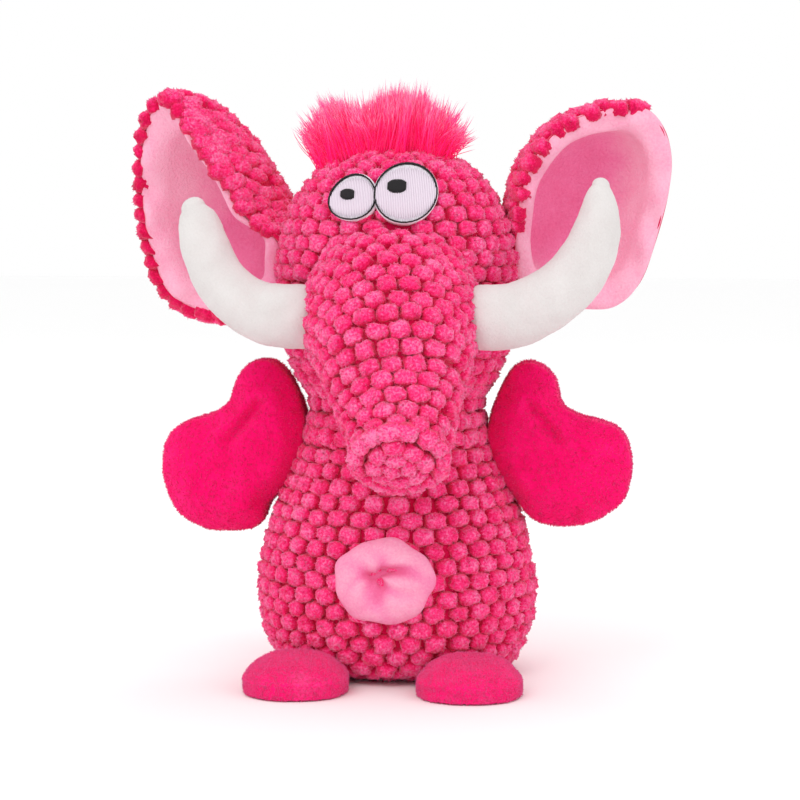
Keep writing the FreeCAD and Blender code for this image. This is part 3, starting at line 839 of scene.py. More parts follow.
def make_trunk():
    """The trunk in two pieces that bend at its joints, and its round end."""
    curl_at = TRUNK.along[np.argmin(np.linalg.norm(TRUNK.middle - CURL, axis=1))]
    bend_at = TRUNK.along[np.argmin(np.linalg.norm(TRUNK.middle - BEND, axis=1))]
    split = (curl_at + bend_at) / 2
    place = TRUNK.place(BACKING_INSET)

    def outside_head(places):
        return ~inside_head(places, -1.5 * MM)

    spans = (("trunk_upper", split, TRUNK.length, 41, ["trunk_root_skin", "trunk_root_stuffing"],
              "head", "trunk_middle", bend_at + 9 * MM, bend_at - 9 * MM),
             ("trunk_lower", 1.0 * MM, split, 42, ["trunk_middle_skin", "trunk_middle_stuffing",
              "trunk_tip_skin", "trunk_tip_stuffing"],
              "trunk_middle", "trunk_tip", curl_at + 6 * MM, curl_at - 6 * MM))
    for name, low, high, seed, nodes, first, second, start, end in spans:
        rows = tube_rows(TRUNK, low, high, 5.2 * MM)
        lumps = bubbles(place, rows, seed, droop=-0.10, keep=outside_head)
        skin = tube_skin(TRUNK, low, high, BACKING_INSET, 30, 64)
        verts, faces, tint = join([skin, lumps])
        piece = add_mesh(name, verts, faces, BUBBLE, tint)
        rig.replaces(piece, *nodes)
        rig.slot(piece, "bubble_plush")
        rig.padded(piece, fill=0.9)
        at = [Vector(TRUNK.at(v, TRUNK.middle)) for v in (start, end)]
        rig.blend(piece, first, second, *at)

    side, out = TRUNK.side[0], -TRUNK.heading[0]
    up = np.cross(out, side)
    reach = TRUNK.radius[0]
    random = np.random.default_rng(43)
    turn = random.random(3000) * 2 * math.pi
    far = np.sqrt(random.random(3000)) * (reach - 5.4 * MM)
    flat = np.column_stack([np.cos(turn) * far, np.sin(turn) * far])
    inner = flat[scattered(flat, 11, 44)]
    turn = np.arange(15) * 2 * math.pi / 15 + random.normal(0, 0.03, 15)
    rim = np.column_stack([np.cos(turn), np.sin(turn)]) * (reach - 2.2 * MM)

    def end_point(spots, inset):
        bulge = 3.6 * MM * (1 - (np.linalg.norm(spots, axis=1) / reach) ** 2) - inset
        return TRUNK.middle[0] + spots[:, :1] * side + spots[:, 1:] * up + bulge[:, None] * out

    parts = []
    # The bubbles on the trunk's end are coloured 0.12 lighter: painted highlight on the end of the trunk.
    for spots, inset, tilt, half, lighter in ((inner, 1.4 * MM, 0.5, 3.5 * MM, 0.12),
                                              (rim, 1.5 * MM, 0.65, 3.6 * MM, 0.12)):
        here = end_point(spots, inset)
        outward = unit(out[None] + (spots[:, :1] * side + spots[:, 1:] * up) / reach * tilt)
        across = unit(np.cross(unit(spots[:, :1] * side + spots[:, 1:] * up + 1e-6), outward))
        parts.append(bubble_meshes(here, across, np.cross(outward, across), outward,
                                   np.full(len(here), half), random, 0.9, 0.0, lighter=lighter))
    lumps = join(parts)
    rings = [(0.02, 1.2), (0.3, 1.2), (0.6, 1.2), (0.85, 1.4), (1.0, 2.2), (1.0, 3.6),
             (0.6, 3.6), (0.02, 3.6)]
    turns = np.arange(48) * 2 * math.pi / 48
    verts = []
    for size, depth in rings:
        spots = np.column_stack([np.cos(turns), np.sin(turns)]) * size * (reach - 1.6 * MM)
        verts.append(end_point(spots, depth * MM + 1.0 * MM))
    verts = np.vstack(verts)
    faces = grid_faces(len(rings), 48, True, flip=True) + [list(range(48)),
                                                           list(range(len(verts) - 1, len(verts) - 49, -1))]
    # The cap under the end bubbles takes the darkest colour of the ramp: painted shade for the gaps between them.
    cap = (verts, faces, even_tint(len(verts), -0.1))
    verts, faces, tint = join([cap, lumps])
    piece = add_mesh("trunk_end_bubbles", verts, faces, BUBBLE, tint)
    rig.replaces(piece, "trunk_end_panel")
    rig.slot(piece, "bubble_plush")
    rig.padded(piece, fill=0.9)
    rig.ride(piece, "trunk_tip")


# ---------------------------------------------------------------- pile
def mesh_samples(piece, count, seed):
    """Places spread over a mesh, with the direction out of it at each."""
    mesh = piece.data
    mesh.calc_loop_triangles()
    corners = np.empty(len(mesh.loop_triangles) * 3, int)
    mesh.loop_triangles.foreach_get("vertices", corners)
    verts = np.empty(len(mesh.vertices) * 3)
    mesh.vertices.foreach_get("co", verts)
    triangles = verts.reshape(-1, 3)[corners.reshape(-1, 3)]
    cross = np.cross(triangles[:, 1] - triangles[:, 0], triangles[:, 2] - triangles[:, 0])
    area = np.linalg.norm(cross, axis=1)
    random = np.random.default_rng(seed)
    chosen = random.choice(len(area), count, p=area / area.sum())
    a, b = random.random((2, count, 1))
    a, b = np.where(a + b > 1, 1 - a, a), np.where(a + b > 1, 1 - b, b)
    corner = triangles[chosen]
    return (corner[:, 0] + (corner[:, 1] - corner[:, 0]) * a + (corner[:, 2] - corner[:, 0]) * b,
            unit(cross[chosen]))


# ---------------------------------------------------------------- eyes
EYES = {    # half sizes, lean, how much one end is fuller, place from the node, lift, pupil from its node
    "right": {"size": (7.6, 6.6), "lean": 22, "egg": 0.12, "shift": (1.3, -1.0), "lift": 0.0,
              "pupil": (1.1, -1.6)},
    "left": {"size": (9.4, 8.9), "lean": 0, "egg": 0.0, "shift": (-0.7, -0.5), "lift": 0.4,
             "pupil": (-1.1, -1.9)},
}


def eye_middle(side):
    """Middle (x, z) of an eye."""
    low, high = node_box(side + "_eye_outline")
    shift = EYES[side]["shift"]
    return (low[0] + high[0]) / 2 + shift[0] * MM, (low[2] + high[2]) / 2 + shift[1] * MM


def eye_edge(side, turn, grow=0.0):
    """Points (x, z) of an eye's outline, from the middle of its box."""
    middle = eye_middle(side)
    eye = EYES[side]
    wide, tall = [(v * MM + grow) for v in eye["size"]]
    x = wide * np.cos(turn)
    z = tall * np.sin(turn) * (1 + eye["egg"] * np.cos(turn))
    lean = math.radians(eye["lean"])
    return (middle[0] + x * math.cos(lean) - z * math.sin(lean),
            middle[1] + x * math.sin(lean) + z * math.cos(lean))


def in_eyes(places, grow):
    """Whether places at the front of the head are under an eye."""
    inside = np.zeros(len(places), bool)
    for side, eye in EYES.items():
        middle = eye_middle(side)
        wide, tall = [(v * MM + grow) for v in eye["size"]]
        low = np.where(places[:, 2] < middle[1], 1.1 * MM, 0.0)
        inside |= (((places[:, 0] - middle[0]) / wide) ** 2
                   + ((places[:, 2] - middle[1]) / (tall - low)) ** 2) < 1
    return inside & (places[:, 1] < 0)


def stitches(starts, ends, half_width, lift, height, sides=6, steps=9):
    """Satin stitches: low closed ribs from start to end over the face, as (x, z) places."""
    parts = []
    for start, end in zip(starts, ends):
        t = np.linspace(0, 1, steps)
        x = start[0] + (end[0] - start[0]) * t
        z = start[1] + (end[1] - start[1]) * t
        run = np.hypot(end[0] - start[0], end[1] - start[1]) + 1e-9
        across = np.array([-(end[1] - start[1]) / run, (end[0] - start[0]) / run])
        taper = np.sqrt(np.clip(1 - (2 * t - 1) ** 6, 0.04, 1))
        rings = []
        for k in range(sides):
            turn = 2 * math.pi * k / sides
            offset = math.cos(turn) * half_width * taper
            rings.append(HEAD.face(x + across[0] * offset, z + across[1] * offset,
                                   lift + (0.5 + 0.5 * math.sin(turn)) * height * taper))
        verts = np.stack(rings, axis=1).reshape(-1, 3)
        faces = grid_faces(steps, sides, True)
        faces += [list(range(sides))[::-1], list(range(len(verts) - sides, len(verts)))]
        # Painted light and shade: each rib is coloured lighter along its top and darker along its underside.
        bright = np.tile(np.linspace(0.5, 0.5, steps)[:, None] + 0.5 * np.sin(
            2 * math.pi * np.arange(sides) / sides)[None], 1).reshape(-1)
        parts.append((verts, faces, np.column_stack([bright, np.full(len(verts), 0.5)])))
    return join(parts)


def face_patch(edges, lifts, material_tint=0.8):
    """A closed patch on the face: rings (scale, lift) from the middle out to its edge."""
    x, z = edges
    middle = (x.mean(), z.mean())
    rings = []
    for scale, lift in lifts:
        rings.append(HEAD.face(middle[0] + (x - middle[0]) * scale, middle[1] + (z - middle[1]) * scale,
                               lift * MM))
    columns = len(x)
    verts = np.vstack(rings)
    faces = grid_faces(len(rings), columns, True)
    faces += [list(range(columns))[::-1], list(range(len(verts) - columns, len(verts)))]
    return verts, faces, even_tint(len(verts), material_tint)


def make_eyes():
    """Felt backing, satin stitched whites, outline stitches and pupils."""
    turn = np.arange(72) * 2 * math.pi / 72
    felt = []
    for side in EYES:
        edge = np.array(eye_edge(side, turn, 0.55 * MM)) + np.array([[0], [0.3 * MM]])
        rings = [(size, depth + EYES[side]["lift"]) for size, depth in (
            (0.05, 0.9), (0.5, 0.9), (0.85, 0.95), (0.95, 0.9), (1.0, 0.5), (1.0, -2.2),
            (0.5, -2.2), (0.05, -2.2))]
        felt.append(face_patch(edge, rings))
    verts, faces, tint = join(felt)
    piece = add_mesh("eye_backing_felt", verts, faces, FELT, tint)
    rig.replaces(piece, "eye_backing")
    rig.slot(piece, "eye_felt")
    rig.ride(piece, "head")
    random = np.random.default_rng(51)
    for side in EYES:
        x, z = eye_edge(side, turn, -0.25 * MM)
        starts, ends = [], []
        for across in np.arange(x.min() + 0.35 * MM, x.max() - 0.2 * MM, 0.52 * MM):
            near = np.abs(x - across)
            crossing = []
            for k in range(72):
                n = (k + 1) % 72
                if (x[k] - across) * (x[n] - across) <= 0 and near[k] < 2 * MM:
                    part = (across - x[k]) / (x[n] - x[k] + 1e-12)
                    crossing.append(z[k] + (z[n] - z[k]) * part)
            if len(crossing) >= 2 and max(crossing) - min(crossing) > 1.5 * MM:
                jitter = random.normal(0, 0.1 * MM, 2)
                starts.append((across, min(crossing) + jitter[0]))
                ends.append((across, max(crossing) + jitter[1]))
        lift = EYES[side]["lift"] * MM
        satin = stitches(starts, ends, 0.31 * MM, 0.75 * MM + lift, 0.75 * MM, 6, 12)
        piece = add_mesh(side + "_eye_satin", *satin[:2], WHITE_THREAD, satin[2])
        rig.replaces(piece, side + "_eye_white")
        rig.slot(piece, "white_thread")
        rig.ride(piece, "head")

        count = 34 if side == "left" else 27
        angle = np.arange(count) * 2 * math.pi / count
        sx, sz = eye_edge(side, angle - 0.03, random.normal(0, 0.08 * MM))
        ex, ez = eye_edge(side, angle + 2 * math.pi / count * 1.22, random.normal(0, 0.08 * MM))
        rim = stitches(list(zip(sx, sz)), list(zip(ex, ez)), 0.25 * MM, 0.95 * MM + lift, 0.85 * MM, 6, 6)
        piece = add_mesh(side + "_eye_rim", *rim[:2], BLACK_THREAD, rim[2])
        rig.replaces(piece, side + "_eye_outline")
        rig.slot(piece, "black_thread")
        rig.ride(piece, "head")

        low, high = node_box(side + "_pupil")
        middle, half = (low + high) / 2, (high - low) / 2 * 0.88
        middle = middle + np.array([EYES[side]["pupil"][0], 0, EYES[side]["pupil"][1]]) * MM
        starts, ends = [], []
        for across in np.arange(-half[0] + 0.2 * MM, half[0], 0.42 * MM):
            tall = half[2] * (1 - abs(across / half[0]) ** 3 * 0.55)
            starts.append((middle[0] + across, middle[2] - tall))
            ends.append((middle[0] + across, middle[2] + tall))
        block = stitches(starts, ends, 0.34 * MM, 1.0 * MM + lift, 1.15 * MM, 6, 8)
        piece = add_mesh(side + "_pupil_satin", *block[:2], BLACK_THREAD, block[2])
        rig.replaces(piece, side + "_pupil")
        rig.slot(piece, "black_thread")
        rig.ride(piece, "head")


# ---------------------------------------------------------------- belly patch
def make_belly_patch():
    """A puckered round of pale pile, sewn down in its middle."""
    low, high = node_box("belly_patch")
    middle, half = (low + high) / 2, (high - low) / 2
    rings, columns = 40, 160
    turn = np.arange(columns) * 2 * math.pi / columns
    knot = np.array([-0.14, 0.16])
    creases = ((0.25, 0.30, 1.5), (2.9, 0.35, 0.8), (1.5, 0.28, 0.7), (4.0, 0.35, 0.9), (5.0, 0.25, 1.0),
               (5.6, 0.22, 0.7), (3.4, 0.2, 0.6), (0.8, 0.2, 0.5))
    verts, shade = [], []
    for i in range(rings):
        far = (i + 0.6) / rings
        wave = 1 + 0.030 * np.sin(5 * turn + 0.6) + 0.018 * np.sin(9 * turn + 2.0)
        reach = np.stack([np.cos(turn), np.sin(turn)], axis=1) * (far * wave)[:, None]
        spot = reach + knot * (1 - far) ** 1.5
        tall = 4.4 * max(1 - far ** 3.6, 0.0) ** 0.55 * (1 - 0.86 * math.exp(-(far / 0.16) ** 1.6))
        fold = np.zeros(columns)
        for direction, width, depth in creases:
            bend = direction + 0.35 * math.sin(far * 4 + direction * 3)
            off = np.angle(np.exp(1j * (turn - bend)))
            fold += depth * np.exp(-(off / (width / (0.35 + far))) ** 2)
        fold *= 2.5 * math.exp(-(far / 0.60) ** 2)
        if far < 0.97:
            lift = np.maximum(tall - fold, -0.2 if i < rings - 2 else -2.5)
        else:
            lift = np.full(columns, -1.6)
        x = middle[0] + spot[:, 0] * half[0]
        z = middle[2] + spot[:, 1] * half[2]
        verts.append(BODY.face(x, z, lift * MM))
        # Painted shade: the cloth is coloured darker in its creases and where it lies low, and lighter where it rises;
        # the tucked-under ring below takes level 0.
        shade.append(np.clip(0.35 + 0.11 * lift - 0.25 * fold, -0.3, 1.0))
    under = BODY.face(middle[0] + np.cos(turn) * half[0] * 0.9, middle[2] + np.sin(turn) * half[2] * 0.9,
                      np.full(columns, -2.2 * MM))
    verts.append(under)
    shade.append(np.zeros(columns))
    verts, shade = np.vstack(verts), np.concatenate(shade)
    rough = grain(verts, 2.2 * MM, 5) * 0.16 * MM
    verts = verts + unit(verts - np.array([0, 0, middle[2]])) * rough[:, None]
    faces = grid_faces(rings + 1, columns, True)
    faces += [list(range(columns))[::-1], list(range(len(verts) - columns, len(verts)))]
    tint = np.column_stack([shade, np.full(len(verts), 0.5)])
    piece = add_mesh("belly_patch_pile", verts, faces, PALE_PILE, tint)
    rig.replaces(piece, "belly_patch")
    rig.slot(piece, "pale_pink_pile")
    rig.padded(piece, fill=0.7)
    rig.ride(piece, "torso")


# ---------------------------------------------------------------- tusks
TUSK_LINES = {      # from the joint, outwards, forwards and up: (x, y, z, radius) in millimetres
    "right": [(-22.6, 7.6, 32.4, 3.9), (-21.9, 7.3, 30.4, 5.5), (-20.9, 6.8, 27.8, 6.7),
              (-18.4, 5.2, 20.0, 7.8), (-14.0, 3.2, 10.8, 8.4), (-7.0, 1.0, 3.6, 8.9),
              (0.6, 0.0, -0.4, 9.6), (7.2, -1.2, -1.4, 10.2), (13.0, -1.2, -1.6, 10.3),
              (21.0, 3.0, -2.2, 9.6)],
    "left": [(23.6, 8.0, 39.2, 2.7), (23.4, 7.6, 36.6, 4.3), (23.2, 6.8, 31.0, 6.2), (21.8, 5.2, 22.4, 8.0),
             (16.8, 3.0, 12.0, 9.1), (8.4, 1.0, 4.2, 9.7), (-1.0, 0.0, -0.6, 10.2), (-7.5, -1.2, -2.0, 10.4),
             (-13.0, -1.2, -2.2, 10.3), (-21.0, 3.0, -2.6, 9.6)],
}


def make_tusk(side):
    """A smooth stuffed tusk of short white pile, closed at both ends."""
    at = pivot(side + "_tusk_bend")
    line = [(at[0] + x * MM, at[1] + y * MM, at[2] + z * MM, r * MM) for x, y, z, r in TUSK_LINES[side]]
    tube = Tube(line, (0, 1, 0))
    rows, columns = 150, 56
    v = np.linspace(0, tube.length, rows)
    turn = np.arange(columns) * 2 * math.pi / columns
    places = tube.place()(np.tile(turn, rows) * tube.around(np.repeat(v, columns)), np.repeat(v, columns))
    tip = np.linspace(math.radians(86), math.radians(12), 7)
    first = tube.middle[0]
    cap = []
    for angle in tip[::-1]:
        ring = (first - tube.heading[0] * tube.radius[0] * math.cos(angle) * 0.9
                + (tube.side[0] * np.sin(turn)[:, None] + tube.front[0] * np.cos(turn)[:, None])
                * tube.radius[0] * math.sin(angle))
        cap.append(ring)
    verts = np.vstack(cap + [places])
    middle = np.repeat(tube.at(v, tube.middle), columns, axis=0)
    outward = unit(np.vstack([np.vstack(cap) - first, places - middle]))
    rough = grain(verts, 5 * MM, 61) * 0.30 * MM + grain(verts, 1.1 * MM, 62) * 0.07 * MM
    verts = verts + outward * rough[:, None]
    total = len(cap) + rows
    faces = grid_faces(total, columns, True, flip=True)
    faces += [list(range(columns)), list(range(len(verts) - 1, len(verts) - columns - 1, -1))]
    tint = np.column_stack([0.75 + 0.2 * grain(verts, 7 * MM, 63), np.full(len(verts), 0.5)])
    shell = add_mesh(side + "_tusk_pile", verts, faces, WHITE_PILE, tint)
    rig.replaces(shell, side + "_tusk_skin", side + "_tusk_stuffing")
    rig.slot(shell, "white_pile")
    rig.padded(shell, fill=0.9)
    out = -1 if side == "right" else 1
    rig.blend(shell, "head", side + "_tusk", Vector(at + np.array([-6 * out, 0, 0]) * MM),
             Vector(at + np.array([5 * out, 0, 0]) * MM))


# ---------------------------------------------------------------- ears
EARS = {
    "right": {
        "rim": [(-36.3, 52.5), (-43.6, 46.5), (-47.6, 31.5), (-48.3, 14.9), (-46.0, -1.7), (-42.0, -13.4),
                (-34.3, -20.0), (-22.0, -22.4), (-10.3, -22.0), (0.6, -15.0), (3.0, -4.0), (1.6, 4.4),
                (-8.7, 11.6), (-15.3, 21.6), (-22.0, 33.2), (-28.6, 43.2)],
        "slope": (0.465, 0.349), "pole": (23.0, 19.0, 3.0), "front": -0.6,
        "back_size": 0.965, "lining_size": 0.955},
    "left": {
        "rim": [(-0.7, 8.9), (0.8, 20.0), (4.4, 30.5), (13.4, 41.3), (21.5, 45.8), (30.0, 48.0),
                (40.5, 48.2), (47.2, 42.2), (49.9, 31.5), (48.5, 18.2), (44.5, 3.2), (39.5, -10.1),
                (31.2, -17.7), (20.5, -18.4), (8.9, -16.0), (0.6, -11.7), (-1.4, -1.8)],
        "slope": (-0.298, 0.17), "pole": (-12.0, 20.0, 5.0), "front": 0.0,
        "back_size": 0.955, "lining_size": 1.005},
}
EAR_BACK_SHAPE = [(1.0, 0.0), (0.985, 0.16), (0.94, 0.34), (0.86, 0.52), (0.73, 0.70), (0.54, 0.86),
                  (0.28, 0.97), (0.02, 1.0)]
EAR_LINING_SHAPE = [(0.985, 0.02), (0.97, -0.02), (0.90, -0.03), (0.80, 0.01), (0.74, 0.10), (0.72, 0.26),
                    (0.66, 0.46), (0.54, 0.64), (0.36, 0.78), (0.16, 0.84), (0.02, 0.85)]
EAR_COLUMNS = 144


def ear_rim(side):
    """The closed edge of an ear and the middle of its mouth."""
    ear = EARS[side]
    flat = closed_outline(ear["rim"], EAR_COLUMNS)
    if np.sum(flat[:, 0] * np.roll(flat[:, 1], -1) - flat[:, 1] * np.roll(flat[:, 0], -1)) < 0:
        flat = flat[::-1]
    middle = flat.mean(axis=0)
    slope = ear["slope"]
    depth = ear["front"] - (slope[0] * (flat[:, 0] - middle[0]) + slope[1] * (flat[:, 1] - middle[1]))
    at = pivot(side + "_ear_flap")
    rim = np.column_stack([flat[:, 0], depth, flat[:, 1]]) * MM + at
    return rim, np.array([middle[0], ear["front"], middle[1]]) * MM + at, np.array(ear["pole"]) * MM


def ear_surface(side, shape, rows, ruffle, scale):
    """Rings of an ear surface from its edge to its pole."""
    rim, middle, pole = ear_rim(side)
    line = spline(shape, rows)
    turn = np.arange(EAR_COLUMNS) * 2 * math.pi / EAR_COLUMNS
    rings = []
    for size, depth in line:
        wave = ruffle * (np.sin(7 * turn + 1.0) + 0.7 * np.sin(11 * turn + 2.6)) * MM
        wave = wave * math.exp(-((size - 0.84) / 0.10) ** 2)
        ring = middle + (rim - middle) * size * scale + pole * depth
        ring[:, 1] += wave
        rings.append(ring)
    return np.array(rings)


def surface_normals(rings):
    """Outward normals of rings round a surface."""
    around = np.roll(rings, -1, axis=1) - np.roll(rings, 1, axis=1)
    down = np.gradient(rings, axis=0)
    return unit(np.cross(around, down))


def ring_shell(rings, wall, material_tint):
    """A closed thin shell along rings: wall > 0 puts its second face on the normal's side."""
    normal = surface_normals(rings)
    other = rings + normal * wall
    rows, columns = rings.shape[:2]
    count = rows * columns
    verts = np.vstack([rings.reshape(-1, 3), other.reshape(-1, 3)])
    faces = grid_faces(rows, columns, True, flip=wall > 0)
    faces += grid_faces(rows, columns, True, count, flip=wall <= 0)
    for j in range(columns):
        k = (j + 1) % columns
        quad = [j, k, k + count, j + count]
        faces.append(quad if wall > 0 else quad[::-1])
    last = (rows - 1) * columns
    near = list(range(last, last + columns))
    far = list(range(count + last, count + last + columns))
    faces += [near if wall <= 0 else near[::-1], far[::-1] if wall <= 0 else far]
    return verts, faces, material_tint(verts)


def make_ear(side):
    """The bubble back and the pale lining of an ear."""
    ear = EARS[side]
    back = ear_surface(side, EAR_BACK_SHAPE, 46, 0.0, ear["back_size"])
    normal = surface_normals(back)
    out = unit(back.mean(axis=(0, 1)) - ear_rim(side)[1])
    facing = np.sign((normal * out).sum(-1).mean())
    random = np.random.default_rng(71 if side == "right" else 72)
    steps = np.linalg.norm(np.gradient(back, axis=0), axis=-1) * np.linalg.norm(
        (np.roll(back, -1, axis=1) - np.roll(back, 1, axis=1)) / 2, axis=-1)
    flat_steps = steps[:-1].reshape(-1)
    area = flat_steps.sum()
    ids = random.choice(len(flat_steps), 5000, p=flat_steps / area)
    places = back[:-1].reshape(-1, 3)[ids]
    outward = (normal * facing)[:-1].reshape(-1, 3)[ids]
    chosen = scattered(places, int(area / (5.9 * 5.1 * MM ** 2)), 73)
    here, outward = places[chosen], outward[chosen]
    rim, middle, pole = ear_rim(side)
    lean = unit(pole * np.array([1, 0, 1]))
    from_rim = np.min(np.linalg.norm(here[:, None] - rim[None], axis=-1), axis=1)
    at_edge = from_rim < (4.2 if side == "right" else 8.0) * MM
    towards = unit((here - middle) * np.array([1, 0, 1])) @ lean
    free = ~inside_head(here, 1.0 * MM) & ~(at_edge & (towards < -0.1))
    here, outward = here[free], outward[free]
    if side == "right":
        round_edge = back[0][::4]
        from_middle = unit(round_edge - middle)
        wanted = (from_middle @ lean < 0.05) & ~inside_head(round_edge, 3 * MM)
        behind = round_edge[wanted] - from_middle[wanted] * 0.9 * MM + np.array([0, 1.6 * MM, 0])
        here = np.vstack([here, behind])
        outward = np.vstack([outward, unit(from_middle[wanted] + np.array([0, 0.35, 0]))])
    across = unit(np.cross(np.array([0.15, 0.1, 1.0]), outward))
    lumps = bubble_meshes(here + outward * 0.3 * MM, across, np.cross(outward, across), outward,
                          np.full(len(here), 4.0 * MM), random, 0.95, 0.0)

    # Painted shade: the ear's backing takes the darkest colour of the ramp, for the gaps between the bubbles.
    def dark(verts):
        return even_tint(len(verts), -0.1)

    shell = ring_shell(back, facing * 1.0 * MM, dark)
    verts, faces, tint = join([shell, lumps])
    piece = add_mesh(side + "_ear_bubbles", verts, faces, BUBBLE, tint)
    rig.replaces(piece, side + "_ear_back")
    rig.slot(piece, "bubble_plush")
    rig.padded(piece, fill=0.4)
    at = pivot(side + "_ear_flap")
    turned = -1 if side == "right" else 1
    ends = (Vector(at + np.array([-3 * turned, 0, 0]) * MM), Vector(at + np.array([9 * turned, 0, 0]) * MM))
    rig.blend(piece, "head", side + "_ear", *ends)

    lining = ear_surface(side, EAR_LINING_SHAPE, 60, 1.1, ear["lining_size"])
    lumpy = grain(lining.reshape(-1, 3), 9 * MM, 75).reshape(lining.shape[:2])
    lining = lining - out * (lumpy * 0.8 * MM)[..., None]

    def pale(verts):
        deep = ((verts - middle) @ pole) / (pole @ pole)
        # Painted shade: the lining darkens from its lip down into the hollow of the cup, as the cup's shadow; the
        # grain adds random tone.
        lip = 0.92 - 0.72 * smoothstep(0.08, 0.8, deep) + 0.12 * grain(verts, 8 * MM, 76)
        return np.column_stack([lip, np.full(len(verts), 0.5)])

    sheet = ring_shell(lining, facing * 0.9 * MM, pale)
    piece = add_mesh(side + "_ear_lining_pile", *sheet[:2], PALE_PILE, sheet[2])
    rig.replaces(piece, side + "_ear_lining")
    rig.slot(piece, "pale_pink_pile")
    edges = np.linalg.norm(np.gradient(lining, axis=0), axis=-1) * np.linalg.norm(
        (np.roll(lining, -1, axis=1) - np.roll(lining, 1, axis=1)) / 2, axis=-1)
    cut = edges.sum() * 0.98
    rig.sheet(piece, flat=(math.sqrt(cut * 0.72 / 0.8), math.sqrt(cut / 0.72 / 0.8)), held="gathered",
             rests_on=[side + "_ear_bubbles"], area=cut)
    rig.blend(piece, "head", side + "_ear", *ends)


# ---------------------------------------------------------------- arms and feet
ARM_OUTLINES = {    # outwards and up from the shoulder joint, in millimetres
    "right": [(4.7, -17.1), (7.2, -22.6), (12.0, -25.9), (23.5, -26.3), (31.0, -23.8), (37.2, -18.6),
              (41.0, -8.9), (41.2, 0.0), (38.6, 6.4), (33.5, 10.2), (24.5, 13.6), (19.2, 17.4), (17.2, 22.5),
              (13.6, 28.2), (7.0, 31.3), (1.0, 29.0), (-3.4, 22.8), (-6.5, 15.0), (-7.5, 6.0), (-5.5, -3.0),
              (-1.5, -10.5)],
    "left": [(3.6, -16.5), (9.0, -21.6), (17.2, -23.4), (25.0, -22.6), (31.6, -19.8), (38.4, -14.0),
             (40.6, -4.5), (39.6, 4.4), (36.0, 9.4), (30.5, 11.8), (23.8, 14.0), (18.6, 17.0), (16.6, 21.8),
             (14.2, 27.2), (7.6, 31.0), (1.8, 29.6), (-1.6, 24.4), (-5.4, 15.0), (-7.0, 6.0), (-5.5, -3.0),
             (-1.0, -10.5)],
}


def slab(name, outline, place, half_thick):
    """A thin closed slab of cloth with an outline, placed by place(u, v, height)."""
    count = len(outline)
    rings = [place(outline[:, 0], outline[:, 1], np.full(count, side * half_thick)) for side in (-1, 1)]
    verts = np.vstack(rings)
    faces = [list(range(count))[::-1], list(range(count, 2 * count))]
    for j in range(count):
        k = (j + 1) % count
        faces.append([j, k, k + count, j + count])
    mesh = bpy.data.meshes.new(name)
    mesh.from_pydata(verts.tolist(), [], faces)
    mesh.update()
    piece = bpy.data.objects.new(name, mesh)
    bpy.context.scene.collection.objects.link(piece)
    return piece


def apply_modifiers(piece):
    """The piece's mesh as its modifiers leave it, with the modifiers taken off."""
    depsgraph = bpy.context.evaluated_depsgraph_get()
    mesh = bpy.data.meshes.new_from_object(piece.evaluated_get(depsgraph))
    piece.modifiers.clear()
    old = piece.data
    piece.data = mesh
    bpy.data.meshes.remove(old)


BLOW_UP = 10.0      # the cloth is simulated at ten times its size, where the solver is steady


def stuffed(name, outline, place, thin, voxel, cap, pressure, limit, spread):
    """A cushion blown up from its flat outline: places of its verts, and its faces.

    spread says how much of the cloth's move is kept along x, y and z: the sewn outline stays."""
    def big(u, v, height):
        return place(u, v, height) * BLOW_UP
    piece = slab(name + "_cloth", outline * MM, big, thin * MM)
    remesh = piece.modifiers.new("voxels", "REMESH")
    remesh.mode, remesh.voxel_size = "VOXEL", voxel * MM * BLOW_UP
    apply_modifiers(piece)
    start = np.empty(len(piece.data.vertices) * 3)
    piece.data.vertices.foreach_get("co", start)
    start = start.reshape(-1, 3)
    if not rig.quick():
        cloth = piece.modifiers.new("cloth", "CLOTH")
        cloth.settings.use_pressure = True
        cloth.settings.uniform_pressure_force = pressure
        cloth.settings.effector_weights.gravity = 0
        cloth.settings.quality = 6
        cloth.settings.mass = 0.3
        cloth.collision_settings.use_collision = False
        scene = bpy.context.scene
        for step in range(1, 21):
            scene.frame_set(step)
        apply_modifiers(piece)
        scene.frame_set(1)
    end = np.empty(len(piece.data.vertices) * 3)
    piece.data.vertices.foreach_get("co", end)
    move = end.reshape(-1, 3) - start
    far = np.linalg.norm(move, axis=1, keepdims=True)
    move *= np.minimum(1.0, cap * MM * BLOW_UP / np.maximum(far, 1e-9))
    verts = (start + move * np.array(spread)) / BLOW_UP
    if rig.quick():
        verts = limit(verts)
    faces = [list(face.vertices) for face in piece.data.polygons]
    bpy.data.objects.remove(piece)
    return verts, faces


def smooth_mesh(verts, faces, rounds):
    """Verts moved towards the middle of their neighbours."""
    edges = np.array([(face[i], face[(i + 1) % len(face)]) for face in faces for i in range(len(face))])
    for _ in range(rounds):
        total = np.zeros_like(verts)
        np.add.at(total, edges[:, 0], verts[edges[:, 1]])
        np.add.at(total, edges[:, 1], verts[edges[:, 0]])
        hits = np.bincount(edges.reshape(-1), minlength=len(verts))[:, None]
        verts = verts * 0.5 + total / hits * 0.5
    return verts


def arm_place(side):
    """Turns (outwards, up, height) of an arm into a point."""
    at = pivot(side + "_arm_swing")
    out = -1 if side == "right" else 1

    def place(u, v, height):
        return np.stack([at[0] + out * u, at[1] + height * 1.0 + 0 * u, at[2] + v], axis=-1)
    return place


def edge_distance(outline, u, v):
    """How far places are from an outline."""
    gap = np.hypot(outline[:, 0][None] - u[:, None], outline[:, 1][None] - v[:, None])
    return gap.min(axis=1)


